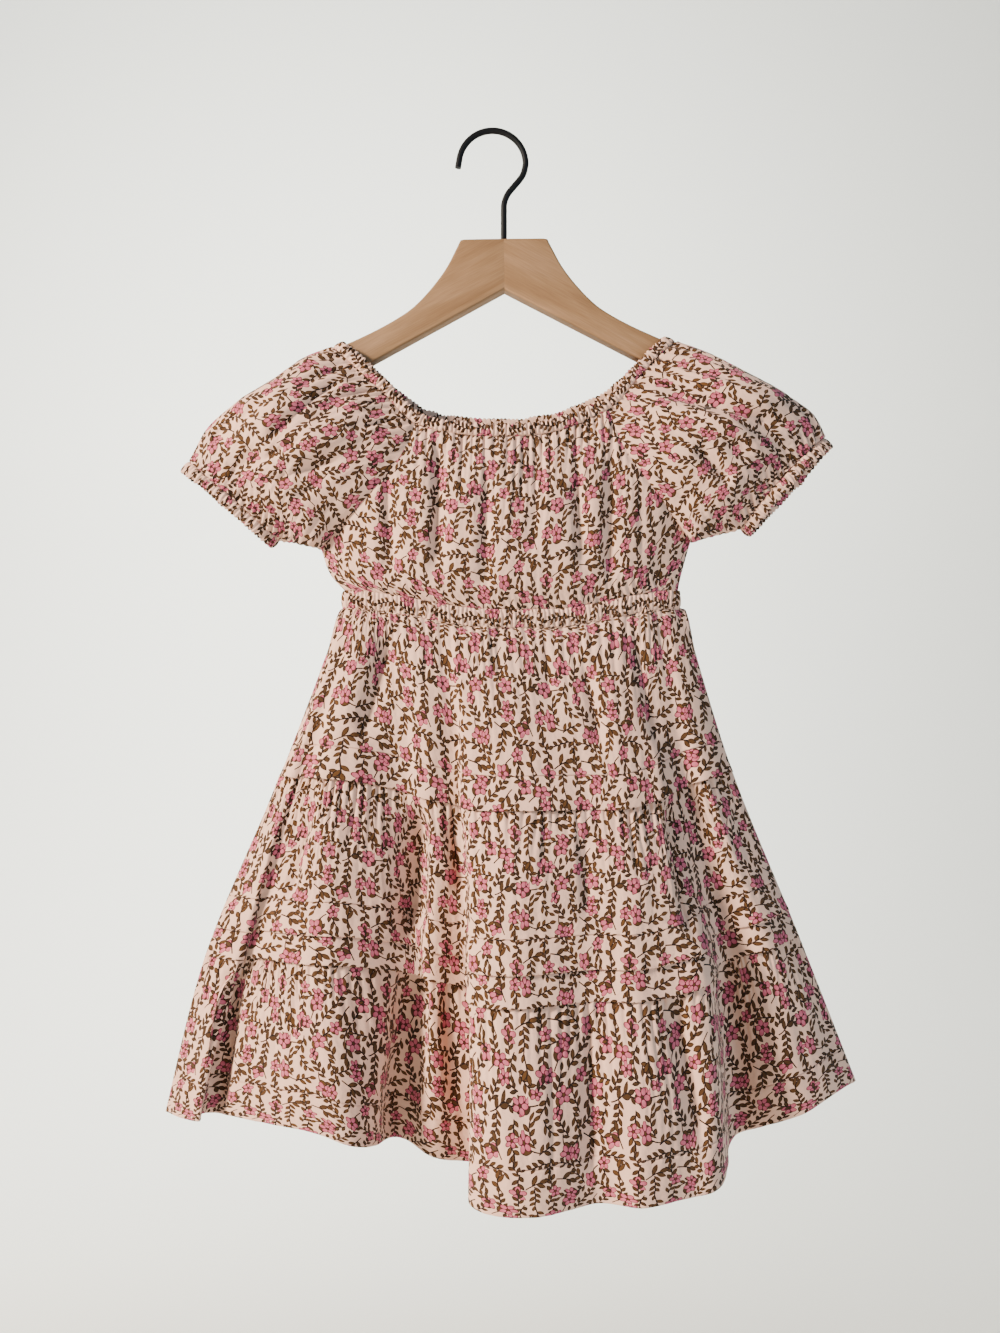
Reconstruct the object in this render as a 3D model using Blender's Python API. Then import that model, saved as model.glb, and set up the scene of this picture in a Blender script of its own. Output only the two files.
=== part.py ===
"""A child's tiered cotton dress hung on a wooden hanger, in metres, +Z up.

The origin is the top of the space inside the wire hook, where a rail or peg
carries the hanger. The front of the dress faces -Y. Sizes and tables are in
millimetres, and MM turns them into metres. A cloth surface is a function of
u, across or around the piece, and v, down it. Its points are the inner face
of a wall, and the outer face is raised from them by the cloth's thickness.
"""

import math

import bmesh
import bpy
import numpy as np

MM = 0.001
COLLECTION_NAME = "tiered_dress_on_hanger"

# Cloth
SEAM_GAP = 0.3
BODICE_NECK_WIDTH = 125.0
SLEEVE_NECK_WIDTH = 125.0
WAIST_WIDTH = 223.0
CLOTH_THICK = 1.2
CASING_THICK = 1.9
TUCK_THICK = 1.8
TUCK_EDGE_THICK = 2.4
TUCK_DEPTH = 19.0
TUCK_STEP = 0.012
TIER_DROP = 118.0

# Casings
NECK_CASING_DEPTH = 7.5
CUFF_CASING_DEPTH = 8.0
WAIST_CASING_DEPTH = 12.0
CASING_RIPPLE = 0.5

# Columns of points, two to each gather. The neck's gathers are those of the
# bodice and the sleeves, the cuffs' those of the sleeves, and the waist's
# those of the skirt: 49, 20 and 43, with 43 more under each of two tiers.
FRONT_COLUMNS = 34
BACK_COLUMNS = 24
SLEEVE_COLUMNS = 20
SKIRT_FRONT_COLUMNS = 60
SKIRT_BACK_COLUMNS = 26

# Hanger, measured from its middle, with its left arm the lower by its lean
HANGER_X = 7.0
HANGER_THICK = 11.0
HANGER_EDGE = 1.5
HANGER_TOP_Z = -72.3
HANGER_PEAK_Z = -105.5
HANGER_SLOPE = math.radians(28.4)
HANGER_HALF_SPAN = 134.0
HANGER_TIP_RISE = 20.0
HANGER_LEAN = math.radians(0.7)
HANGER_SHOULDER = (
    # x and z of an arm's upper edge, from the middle outwards
    (29.0, -73.0), (32.5, -80.0), (39.3, -92.4), (49.2, -105.3), (60.0, -116.4),
    (70.5, -123.8), (84.6, -131.6), (100.0, -138.8), (108.0, -142.3), (118.0, -148.8),
)

# Hook
WIRE_THICK = 3.5
HOOK_RADIUS = 22.3
HOOK_CENTRE_X = -0.7
HOOK_ARC_STEPS = 16
HOOK_START_ANGLE = 0.0
HOOK_END_ANGLE = math.radians(187.0)
STEM_BORE_DEPTH = 15.0
STEM_CLEARANCE = 0.4
HOOK_STEM = (
    # x and z of the wire from the wood up to the start of the hook's arc
    (7.0, -62.0), (7.0, -52.0), (7.3, -46.5), (9.5, -41.0), (13.4, -36.0),
    (17.2, -31.6), (20.2, -26.8),
)

# Free edge of the neckline, from the left front raglan seam across the front,
# over the right shoulder, across the back and over the left shoulder. The
# columns run_x and run_z point from the edge to the seam under the casing.
NECK_KNOTS = (
    # name, x, y, z, run_x, run_z
    ("raglan_front_left", -48.3, -12.0, -190.1, -0.45, -0.89),
    ("front_left", -21.9, -14.0, -196.6, -0.12, -1.00),
    ("front_middle", 7.0, -15.0, -198.7, 0.00, -1.00),
    ("front_right", 40.0, -14.0, -195.1, 0.15, -1.00),
    ("raglan_front_right", 72.2, -12.0, -180.9, 0.50, -0.87),
    ("sleeve_front_right", 89.5, -11.0, -162.3, 0.70, -0.70),
    ("arm_front_right", 107.2, -9.5, -143.8, 0.80, -0.58),
    ("arm_corner_right", 112.4, -6.8, -139.9, 0.86, -0.50),
    ("shoulder_right", 114.4, 0.0, -138.5, 0.90, -0.44),
    ("arm_corner_back_right", 112.4, 6.8, -139.7, 0.86, -0.50),
    ("arm_back_right", 107.6, 9.5, -142.8, 0.80, -0.58),
    ("sleeve_back_right", 90.5, 11.0, -157.8, 0.70, -0.70),
    ("raglan_back_right", 71.0, 12.0, -172.4, 0.50, -0.87),
    ("back_right", 40.0, 12.5, -184.6, 0.15, -1.00),
    ("back_middle", 7.0, 13.0, -188.6, 0.00, -1.00),
    ("back_left", -21.9, 12.5, -187.0, -0.12, -1.00),
    ("raglan_back_left", -47.0, 12.0, -181.5, -0.45, -0.89),
    ("sleeve_back_left", -72.0, 11.0, -163.0, -0.70, -0.70),
    ("arm_back_left", -93.0, 9.5, -146.6, -0.80, -0.58),
    ("arm_corner_back_left", -97.8, 6.8, -143.0, -0.86, -0.50),
    ("shoulder_left", -99.8, 0.0, -141.6, -0.90, -0.44),
    ("arm_corner_left", -97.8, -6.8, -143.4, -0.86, -0.50),
    ("arm_front_left", -92.6, -9.5, -147.8, -0.80, -0.58),
    ("sleeve_front_left", -71.0, -11.0, -167.6, -0.70, -0.70),
)
NECK_SPANS = len(NECK_KNOTS)
FRONT_SPAN = (0.0, 4.0 / NECK_SPANS)
BACK_SPAN = (16.0 / NECK_SPANS, 12.0 / NECK_SPANS)
SLEEVE_SPAN = {
    "left": (1.0, 16.0 / NECK_SPANS),
    "right": (4.0 / NECK_SPANS, 12.0 / NECK_SPANS),
}

# Raglan seams below the neck casing, and the underarm points they run to
RAGLAN_KNOTS = {
    # (side, face): (x, y, z) upper, (x, y, z) lower
    ("left", "front"): ((-62.0, -17.0, -221.0), (-87.0, -14.0, -250.0)),
    ("right", "front"): ((86.0, -17.0, -214.0), (108.0, -14.0, -244.0)),
    ("left", "back"): ((-64.0, 12.0, -214.0), (-89.0, 10.0, -248.0)),
    ("right", "back"): ((88.0, 12.0, -207.0), (110.0, 10.0, -242.0)),
}
UNDERARM = {"left": (-115.5, 0.0, -278.0), "right": (132.0, 0.0, -273.5)}
BODICE_SIDE = {"left": (-109.5, 0.0, -295.0), "right": (126.0, 0.0, -295.0)}
ARMPIT_ROOM = 1.7
RAGLAN_SHARE = 0.7
RAGLAN_ROWS = (0.0, 0.13, 0.28, 0.46, 0.66, 0.85, 1.0)

# Sleeve top lines from the shoulder to the cuff seam
SLEEVE_TOP = {
    "left": ((-126.0, -152.2), (-148.0, -168.0), (-171.5, -182.5), (-190.5, -198.5)),
    "right": ((145.0, -150.0), (169.0, -163.0), (195.0, -177.5), (213.0, -190.0)),
}
UNDERARM_SHARE = 0.8
SLEEVE_PUFF_FRONT = 21.0
SLEEVE_PUFF_BACK = 13.0

# Cuffs: middle of the seam, half of the flat width, and the way from the
# sleeve's top to its underarm, in the XZ plane
CUFFS = {
    # side: x, z, half_width, along_x, along_z
    "left": (-173.7, -245.9, 38.4, 0.759, -0.651),
    "right": (193.5, -234.6, 39.5, -0.677, -0.736),
}
CUFF_FRONT_DEPTH = 13.0
CUFF_BACK_DEPTH = 11.0

# Depth of the bodice's middle from neck to waist, front and back, and how far
# its plain rows hang below the line between the two seams
BODICE_DEPTHS = {
    "front": (15.0, 20.0, 22.0, 22.0, 20.0, 14.0),
    "back": (13.0, 14.0, 15.0, 15.0, 14.0, 11.0),
}
BODICE_SAG = 13.0
BACK_FOLD_TURN = 9.0 * math.pi

# Waist casing
WAIST_LEFT = (-99.5, -306.5)
WAIST_RIGHT = (123.5, -306.5)
WAIST_DIP = 13.0
WAIST_FRONT_DEPTH = 13.0
WAIST_BACK_DEPTH = 11.0

# Seam levels of the skirt: its two side points, and how far its front and
# back hang below the line between them
LEVELS = (
    # name, left_x, left_z, right_x, right_z, front_sag, back_sag, sag_from
    ("waist", -100.5, -318.8, 127.0, -318.8, 13.0, 13.0, 0.0),
    ("tier_1_end", -142.5, -428.5, 160.0, -426.0, 20.0, 14.0, 0.10),
    ("tier_2_end", -193.0, -549.0, 204.5, -536.0, 22.0, 16.0, 0.20),
    ("hem", -221.0, -657.0, 243.5, -635.5, 40.0, 22.0, 0.20),
)

# Ridges and troughs that run down the skirt's front, from its left side to
# its right, at the waist, the two tier seams and the hem
FOLDS = (
    # name, x at the 4 levels, y at the 4 levels
    ("left_side", (-100.5, -142.5, -193.0, -221.0), (0.0, 2.0, 3.0, 4.0)),
    ("lip_ridge", (-96.0, -133.0, -168.0, -194.0), (-5.0, -9.0, -12.0, -15.0)),
    ("lip_trough", (-90.0, -125.0, -161.0, -188.0), (-7.0, -9.0, -6.0, -2.0)),
    ("left_ridge", (-84.0, -103.0, -108.0, -96.5), (-10.0, -20.0, -30.0, -42.0)),
    ("left_trough", (-70.0, -61.5, -53.5, -60.5), (-8.0, -12.0, -10.0, -8.0)),
    ("left_swell", (-51.5, -41.0, -40.0, -38.0), (-12.0, -18.0, -15.0, -12.0)),
    ("edge_trough", (-35.0, -22.0, -15.5, -11.0), (-10.0, -16.0, -12.0, -9.0)),
    ("edge_ridge", (-20.5, -15.0, -12.0, -12.0), (-13.0, -28.0, -50.0, -64.0)),
    ("middle_ridge", (4.5, 14.0, 16.5, 25.0), (-14.0, -36.0, -62.0, -80.0)),
    ("middle_trough", (44.0, 62.0, 61.5, 63.0), (-12.0, -31.0, -52.0, -66.0)),
    ("right_ridge", (70.0, 84.0, 87.5, 91.5), (-13.0, -33.0, -57.0, -74.0)),
    ("right_dip", (89.0, 101.0, 111.5, 120.5), (-11.0, -27.0, -50.0, -64.0)),
    ("panel_edge", (97.0, 110.5, 134.0, 141.0), (-11.0, -24.0, -44.0, -58.0)),
    ("right_trough", (107.0, 126.0, 151.0, 162.0), (-7.0, -10.0, -10.0, -9.0)),
    ("far_ridge", (116.0, 140.0, 177.5, 203.0), (-6.0, -12.0, -18.0, -22.0)),
    ("right_side", (127.0, 160.0, 204.5, 243.5), (0.0, 2.0, 2.0, 2.0)),
)
BACK_DEPTHS = (11.0, 12.0, 13.0, 14.0)
BACK_WAVES = (0.0, 2.0, 3.0, 4.0)
BACK_WAVE_COUNT = 5.0
TIER_BLOUSE = 2.5
WAIST_BLEND = 0.35
BACK_FOLD_DEPTH = 2.0

# Gathers: height, the most of a column's width they may take, how quickly
# they die away from their seam as a share of the piece, and their unevenness
TIER_GATHER = 1.8
BODICE_GATHER = 1.1
GATHER_ROOM = 0.3
TIER_FADE = 0.22
BODICE_FADE = 0.2
SLEEVE_FADE = 0.18
CUFF_FADE = 0.15
GATHER_UNEVEN = 0.25
GATHER_UNEVEN_TURN = 16.1 * math.pi

# Creases pressed into the front of the bodice and the two sleeves
BODICE_CREASES = (
    # x at the top, z, x at the bottom, z, depth, half width
    (-70.0, -228.0, -66.0, -308.0, 3.5, 7.0),
    (-35.0, -206.0, -37.0, -306.0, 4.0, 6.0),
    (-4.0, -225.0, -6.0, -318.0, 2.0, 6.0),
    (28.0, -206.0, 26.0, -290.0, 1.8, 5.0),
    (55.0, -230.0, 59.0, -300.0, 3.5, 6.0),
    (78.0, -208.0, 76.0, -312.0, 3.5, 6.5),
)
SLEEVE_CREASES = {
    "left": (
        (-150.0, -215.0, -90.0, -182.0, 4.5, 8.0),
        (-190.0, -212.0, -142.0, -182.0, 3.5, 6.0),
        (-132.0, -230.0, -74.0, -214.0, 4.0, 8.0),
        (-176.0, -232.0, -150.0, -215.0, 3.0, 5.0),
    ),
    "right": (
        (102.0, -172.0, 198.0, -204.0, 5.0, 8.0),
        (130.0, -214.0, 158.0, -238.0, 3.5, 6.0),
        (110.0, -200.0, 172.0, -222.0, 3.0, 7.0),
    ),
}

# Colours and finish
CLOTH_FINISH = ((0.80, 0.60, 0.54), 0.85, 0.0)
WOOD_FINISH = ((0.52, 0.30, 0.16), 0.45, 0.0)
WIRE_FINISH = ((0.012, 0.012, 0.013), 0.35, 0.6)


def smooth(t):
    """A step from 0 to 1 with no slope at its two ends."""
    t = np.clip(t, 0.0, 1.0)
    return t * t * (3.0 - 2.0 * t)


def mix(a, b, share):
    return a + (b - a) * share


def stack(x, y, z):
    return np.stack(np.broadcast_arrays(x, y, z), axis=-1)


def cubic(before, start, end, after, f):
    """A smooth curve from start to end that minds its two neighbours."""
    return 0.5 * (2 * start + (end - before) * f
                  + (2 * before - 5 * start + 4 * end - after) * f**2
                  + (3 * start - before - 3 * end + after) * f**3)


def through(knots, t):
    """A smooth curve through evenly spaced knots, for t from 0 to 1."""
    knots = np.asarray(knots, dtype=float)
    last = len(knots) - 1
    place = np.clip(t, 0.0, 1.0) * last
    i = np.minimum(place.astype(int), last - 1)
    f = place - i
    if knots.ndim == 2:
        f = f[..., None]
    neighbours = (np.maximum(i - 1, 0), i, i + 1, np.minimum(i + 2, last))
    return cubic(*(knots[n] for n in neighbours), f)


def around(knots, t):
    """A smooth closed curve through knots, for t from 0 to 1."""
    knots = np.asarray(knots, dtype=float)
    place = t * len(knots)
    i = np.floor(place).astype(int)
    f = (place - i)[..., None]
    return cubic(*(knots[(i + step) % len(knots)] for step in (-1, 0, 1, 2)), f)


def crease_depth(table, x, z):
    """How far the creases of a table press the cloth in at x, z."""
    depth = np.zeros_like(x)
    for x0, z0, x1, z1, deep, half_width in table:
        run_x, run_z = x1 - x0, z1 - z0
        length = math.hypot(run_x, run_z)
        along = ((x - x0) * run_x + (z - z0) * run_z) / length**2
        aside = ((x - x0) * run_z - (z - z0) * run_x) / length
        ends = smooth(along / 0.25) * smooth((1.0 - along) / 0.25)
        depth += deep * ends * np.exp(-(aside / half_width) ** 2)
    return depth


def gathers(points, u, columns, depth):
    """The in and out of the gathers, one for each two columns.

    Where the columns stand close together the gathers are as much shallower.
    """
    room = np.linalg.norm(np.gradient(points, axis=1), axis=-1)
    wander = np.sin(GATHER_UNEVEN_TURN * u + 1.0)
    height = (1.0 + GATHER_UNEVEN * (wander - 1.0)) * np.minimum(depth, GATHER_ROOM * room)
    return height * np.cos(math.pi * columns * u)


def neck(t, run):
    """A point run mm from the neckline's free edge, towards the body."""
    knots = [row[1:] for row in NECK_KNOTS]
    values = around(knots, t)
    way = stack(values[..., 3], 0.0, values[..., 4])
    way /= np.linalg.norm(way, axis=-1, keepdims=True)
    return values[..., :3] + way * np.asarray(run)[..., None]


def neck_seam(t):
    return neck(t, np.full_like(t, NECK_CASING_DEPTH + SEAM_GAP))


def raglan(side, face, t):
    """The raglan seam from the neck casing to the underarm."""
    corner = {"left": FRONT_SPAN[0], "right": FRONT_SPAN[1]}
    if face == "back":
        corner = {"left": BACK_SPAN[0], "right": BACK_SPAN[1]}
    start = neck_seam(np.array(corner[side]))
    return through([start, *RAGLAN_KNOTS[side, face], UNDERARM[side]], t)


def waist(f, sign, drop):
    """The waist at share f from left to right, drop mm under its top edge."""
    x = mix(WAIST_LEFT[0], WAIST_RIGHT[0], f)
    dip = WAIST_DIP * smooth(f / 0.45) * smooth((1.0 - f) / 0.4)
    z = mix(WAIST_LEFT[1], WAIST_RIGHT[1], f) - dip - drop
    depth = WAIST_FRONT_DEPTH if sign < 0 else WAIST_BACK_DEPTH
    y = sign * depth * np.sqrt(np.clip(4.0 * f * (1.0 - f), 0.0, 1.0))
    return stack(x, y, z)


def bodice_edge(side, face, v):
    """The raglan seam and then the side seam, from neck to waist."""
    seam = raglan(side, face, v / RAGLAN_SHARE)
    at_waist = waist(np.array(0.0 if side == "left" else 1.0), -1.0, -SEAM_GAP)
    knots = [UNDERARM[side], BODICE_SIDE[side], at_waist]
    below = through(knots, (v - RAGLAN_SHARE) / (1.0 - RAGLAN_SHARE))
    return np.where((v < RAGLAN_SHARE)[..., None], seam, below)


def bodice(face, u, v):
    """A front or back bodice, u from left to right and v from neck to waist."""
    sign, span = (-1.0, FRONT_SPAN) if face == "front" else (1.0, BACK_SPAN)
    middle = BODICE_DEPTHS[face]

    def plain(v):
        left = bodice_edge("left", face, v)
        right = bodice_edge("right", face, v)
        point = mix(left, right, u[..., None])
        swell = 1.0 - np.abs(2.0 * u - 1.0) ** 3
        point[..., 1] = mix(point[..., 1], sign * through(middle, v), swell)
        point[..., 2] -= BODICE_SAG * (1.0 - np.abs(2.0 * u - 1.0) ** 2.5)
        return point

    top = neck_seam(mix(span[0], span[1], u))
    bottom = waist(u, sign, -SEAM_GAP)
    point = plain(v)
    point += (top - plain(np.zeros_like(v))) * smooth(1.0 - 1.6 * v)[..., None]
    point += (bottom - plain(np.ones_like(v))) * smooth(4.0 * v - 3.0)[..., None]
    inside = 1.0 - np.abs(2.0 * u - 1.0) ** 4
    if face == "front":
        press = crease_depth(BODICE_CREASES, point[..., 0], point[..., 2])
    else:
        press = BACK_FOLD_DEPTH * np.sin(math.pi * v) * np.cos(BACK_FOLD_TURN * u)
    point[..., 1] -= sign * inside * press
    return point


def cuff(side, u, run):
    """The cuff's ring, u from the underarm over the front, run mm past its seam."""
    x, z, half_width, along_x, along_z = CUFFS[side]
    out = 1.0 if side == "right" else -1.0
    axis_x, axis_z = -out * along_z, out * along_x
    across = half_width * np.cos(2.0 * math.pi * u)
    lift = np.sin(2.0 * math.pi * u)
    y = -np.where(lift > 0.0, CUFF_FRONT_DEPTH, CUFF_BACK_DEPTH) * lift
    return stack(x + across * along_x + run * axis_x, y,
                 z + across * along_z + run * axis_z)


def sleeve_edge(side, face, v):
    """The raglan seam and then the underarm seam, from neck to cuff."""
    out = 1.0 if side == "right" else -1.0
    room = ARMPIT_ROOM * np.array((out, 0.0, 1.0))
    armpit = np.array(UNDERARM[side]) + room
    near = smooth((v / UNDERARM_SHARE - 0.85) / 0.15)
    seam = raglan(side, face, v / UNDERARM_SHARE) + room * near[..., None]
    corner = cuff(side, np.array(0.0), -SEAM_GAP)
    share = np.clip((v - UNDERARM_SHARE) / (1.0 - UNDERARM_SHARE), 0.0, 1.0)
    below = mix(armpit, corner, share[..., None])
    return np.where((v < UNDERARM_SHARE)[..., None], seam, below)


def sleeve_top(side, v):
    """The sleeve's highest line, from the shoulder to the cuff."""
    start = neck_seam(np.array(0.5 * sum(SLEEVE_SPAN[side])))
    end = cuff(side, np.array(0.5), -SEAM_GAP)
    rows = [(x, 0.0, z) for x, z in SLEEVE_TOP[side]]
    return through([start, *rows, end], v)


def sleeve(side, u, v):
    """A sleeve, u from the front seam over the top, v from neck to cuff."""
    front = u < 0.5
    w = np.where(front, 2.0 * u, 2.0 - 2.0 * u)

    def plain(v):
        edge = np.where(front[..., None], sleeve_edge(side, "front", v),
                        sleeve_edge(side, "back", v))
        top = sleeve_top(side, v)
        closed = smooth(v / UNDERARM_SHARE * 3.0 - 2.0)
        open_share = np.sin(0.5 * math.pi * w)
        tube_share = 0.5 - 0.5 * np.cos(math.pi * w)
        point = mix(edge, top, mix(open_share, tube_share, closed)[..., None])
        open_y = mix(edge[..., 1], top[..., 1], 1.0 - np.cos(0.5 * math.pi * w))
        point[..., 1] = mix(open_y, point[..., 1], closed)
        puff = np.where(front, -SLEEVE_PUFF_FRONT, SLEEVE_PUFF_BACK)
        fullness = mix(0.45, 1.0, smooth(v / 0.6))
        point[..., 1] += puff * fullness * np.sin(math.pi * w) ** 0.75
        return point

    top = neck_seam(mix(*SLEEVE_SPAN[side], u))
    bottom = cuff(side, u, np.full_like(u, -SEAM_GAP))
    point = plain(v)
    point += (top - plain(np.zeros_like(v))) * smooth(1.0 - 1.8 * v)[..., None]
    point += (bottom - plain(np.ones_like(v))) * smooth(3.0 * v - 2.0)[..., None]
    press = crease_depth(SLEEVE_CREASES[side], point[..., 0], point[..., 2])
    press *= np.sin(math.pi * w)
    point[..., 1] += np.where(front, press, -0.6 * press)
    return point


def level_values(column, level):
    """A column of LEVELS at a level from 0, the waist, to 3, the hem."""
    return through([row[column] for row in LEVELS], level / 3.0)


def skirt_z(x, level, face):
    left_x, right_x = level_values(1, level), level_values(3, level)
    f = np.clip((x - left_x) / (right_x - left_x), 0.0, 1.0)
    line = mix(level_values(2, level), level_values(4, level), f)
    sag = level_values(5 if face == "front" else 6, level)
    start = level_values(7, level)
    return line - sag * smooth((f - start) / (0.47 - start)) * smooth((1.0 - f) / 0.27)


def skirt(face, u, level):
    """The skirt's front or back, u from left to right, level from 0 to 3."""
    if face == "front":
        lines_x = [through(row[1], level / 3.0) for row in FOLDS]
        lines_y = [through(row[2], level / 3.0) for row in FOLDS]
        x = fold_curve(lines_x, u)
        y = fold_curve(lines_y, u)
        sign = -1.0
    else:
        x = mix(level_values(1, level), level_values(3, level), u)
        y_side = mix(through(FOLDS[0][2], level / 3.0),
                     through(FOLDS[-1][2], level / 3.0), u)
        depth = through(BACK_DEPTHS, level / 3.0)
        wave = through(BACK_WAVES, level / 3.0)
        bow = 1.0 - np.abs(2.0 * u - 1.0) ** 4
        turn = 2.0 * math.pi * (BACK_WAVE_COUNT * u + 0.35 * np.sin(5.0 * u))
        y = y_side + bow * (depth + wave * np.cos(turn))
        sign = 1.0
    f = (x - WAIST_LEFT[0]) / (WAIST_RIGHT[0] - WAIST_LEFT[0])
    at_waist = waist(np.clip(f, 0.0, 1.0), sign, WAIST_CASING_DEPTH + SEAM_GAP)
    below = smooth(level / WAIST_BLEND)
    y = mix(at_waist[..., 1], y, below)
    z = mix(at_waist[..., 2], skirt_z(x, level, face), below)
    in_tier = level - np.floor(np.minimum(level, 2.999))
    open_edge = np.sqrt(np.clip(4.0 * u * (1.0 - u), 0.0, 1.0))
    y = y + sign * TIER_BLOUSE * np.sin(math.pi * in_tier) * open_edge
    return stack(x, y, z)


def fold_curve(lines, u):
    """A smooth curve across the fold lines, which are evenly spaced in u."""
    lines = np.stack(lines)
    last = len(lines) - 1
    place = np.clip(u, 0.0, 1.0) * last
    i = np.minimum(place.astype(int), last - 1)
    rows, columns = np.indices(i.shape)
    neighbours = (np.maximum(i - 1, 0), i, i + 1, np.minimum(i + 2, last))
    return cubic(*(lines[n, rows, columns] for n in neighbours), place - i)


def unit(vectors):
    return vectors / np.maximum(np.linalg.norm(vectors, axis=-1, keepdims=True), 1e-9)


def outward(points, closed, flip):
    """The way out of the cloth at each point of a grid."""
    down = np.gradient(points, axis=0)
    across = np.gradient(points, axis=1)
    if closed:
        across = np.roll(points, -1, axis=1) - np.roll(points, 1, axis=1)
    way = unit(np.cross(across, down))
    return -way if flip else way


def without(vectors, axis):
    """The vectors with their part along an axis taken away."""
    axis = unit(np.asarray(axis, dtype=float))
    return unit(vectors - np.sum(vectors * axis, axis=-1, keepdims=True) * axis)


def make_material(name, finish):
    colour, roughness, metallic = finish
    material = bpy.data.materials.new(name + "_finish")
    material.use_nodes = True
    shader = material.node_tree.nodes["Principled BSDF"]
    shader.inputs["Base Color"].default_value = (*colour, 1.0)
    shader.inputs["Roughness"].default_value = roughness
    shader.inputs["Metallic"].default_value = metallic
    return material


def add_object(name, mesh, finish, collection):
    thing = bpy.data.objects.new(name, mesh)
    mesh.materials.clear()
    mesh.materials.append(make_material(name, finish))
    collection.objects.link(thing)
    return thing


def add_wall(name, inner, outer, collection, closed=False, joined_row=None):
    """A closed cloth wall between an inner and an outer grid of points.

    A closed piece goes all the way round. From its joined_row down, the last
    column of an open piece is sewn to its first one, as in a sleeve.
    """
    rows, columns = inner.shape[:2]
    joined_row = rows if joined_row is None else joined_row
    shape = bmesh.new()

    def add_grid(grid):
        placed = []
        for r in range(rows):
            row = [shape.verts.new(point * MM) for point in grid[r][:-1]]
            sewn = r >= joined_row
            row.append(row[0] if sewn else shape.verts.new(grid[r][-1] * MM))
            placed.append(row)
        return placed

    inside, outside = add_grid(inner), add_grid(outer)
    for c in range(columns if closed else columns - 1):
        n = (c + 1) % columns
        for r in range(rows - 1):
            d = r + 1
            shape.faces.new((outside[r][c], outside[r][n], outside[d][n], outside[d][c]))
            shape.faces.new((inside[r][c], inside[d][c], inside[d][n], inside[r][n]))
        shape.faces.new((inside[0][c], inside[0][n], outside[0][n], outside[0][c]))
        shape.faces.new((inside[-1][n], inside[-1][c], outside[-1][c], outside[-1][n]))
    if not closed:
        for r in range(min(rows - 1, joined_row)):
            d = r + 1
            shape.faces.new((inside[r][0], outside[r][0], outside[d][0], inside[d][0]))
            shape.faces.new((inside[d][-1], outside[d][-1], outside[r][-1], inside[r][-1]))
    bmesh.ops.recalc_face_normals(shape, faces=shape.faces)
    mesh = bpy.data.meshes.new(name)
    shape.to_mesh(mesh)
    shape.free()
    mesh.shade_smooth()
    return add_object(name, mesh, CLOTH_FINISH, collection)


def tier_rows(tier):
    """The rows of a tier: share of its drop, and the wall's thickness there."""
    tuck = TUCK_DEPTH / TIER_DROP
    step = TUCK_STEP
    rows = [(0.0, CLOTH_THICK), (0.08, CLOTH_THICK), (0.22, CLOTH_THICK),
            (0.42, CLOTH_THICK)]
    if tier == 1:
        rows += [(0.64, CLOTH_THICK), (1.0 - tuck, CLOTH_THICK),
                 (1.0 - tuck + step, TUCK_THICK), (1.0, TUCK_EDGE_THICK)]
    elif tier == 2:
        rows += [(1.0 - 2.0 * tuck, CLOTH_THICK),
                 (1.0 - 2.0 * tuck + step, TUCK_THICK),
                 (1.0 - tuck, TUCK_EDGE_THICK), (1.0 - tuck + step, TUCK_THICK),
                 (1.0, TUCK_EDGE_THICK)]
    else:
        rows += [(0.62, CLOTH_THICK), (0.80, CLOTH_THICK), (1.0, CLOTH_THICK)]
    return rows


def add_tier(tier, face, collection):
    """One tier of the skirt's front or back, gathered at its top."""
    rows = tier_rows(tier)
    front = face == "front"
    columns = SKIRT_FRONT_COLUMNS if front else SKIRT_BACK_COLUMNS
    inset = 0.5 * SEAM_GAP / WAIST_WIDTH
    u = np.linspace(0.0, 1.0, columns + 1)
    v = np.array([row[0] for row in rows])
    u_grid, v_grid = np.meshgrid(u, v)
    level = tier - 1 + v_grid
    points = skirt(face, mix(inset, 1.0 - inset, u_grid), level)
    way = outward(points, False, front)
    way[0] = without(way[0], (0.0, 0.0, 1.0))
    way[-1] = without(way[-1], (0.0, 0.0, 1.0))
    sign = -1.0 if front else 1.0
    free = np.sin(math.pi * np.clip(u_grid, 0.0, 1.0)) ** 0.3
    fade = free * np.exp(-v_grid / TIER_FADE)
    points += way * (fade * gathers(points, u_grid, columns, TIER_GATHER))[..., None]
    points[..., 1] += sign * 0.5 * SEAM_GAP
    if tier > 1:
        points[0, :, 2] -= 0.5 * SEAM_GAP
    if tier < 3:
        points[-1, :, 2] += 0.5 * SEAM_GAP
    thick = np.array([row[1] for row in rows])[:, None, None]
    add_wall(f"tier_{tier}_{face}", points, points + way * thick, collection)


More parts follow.
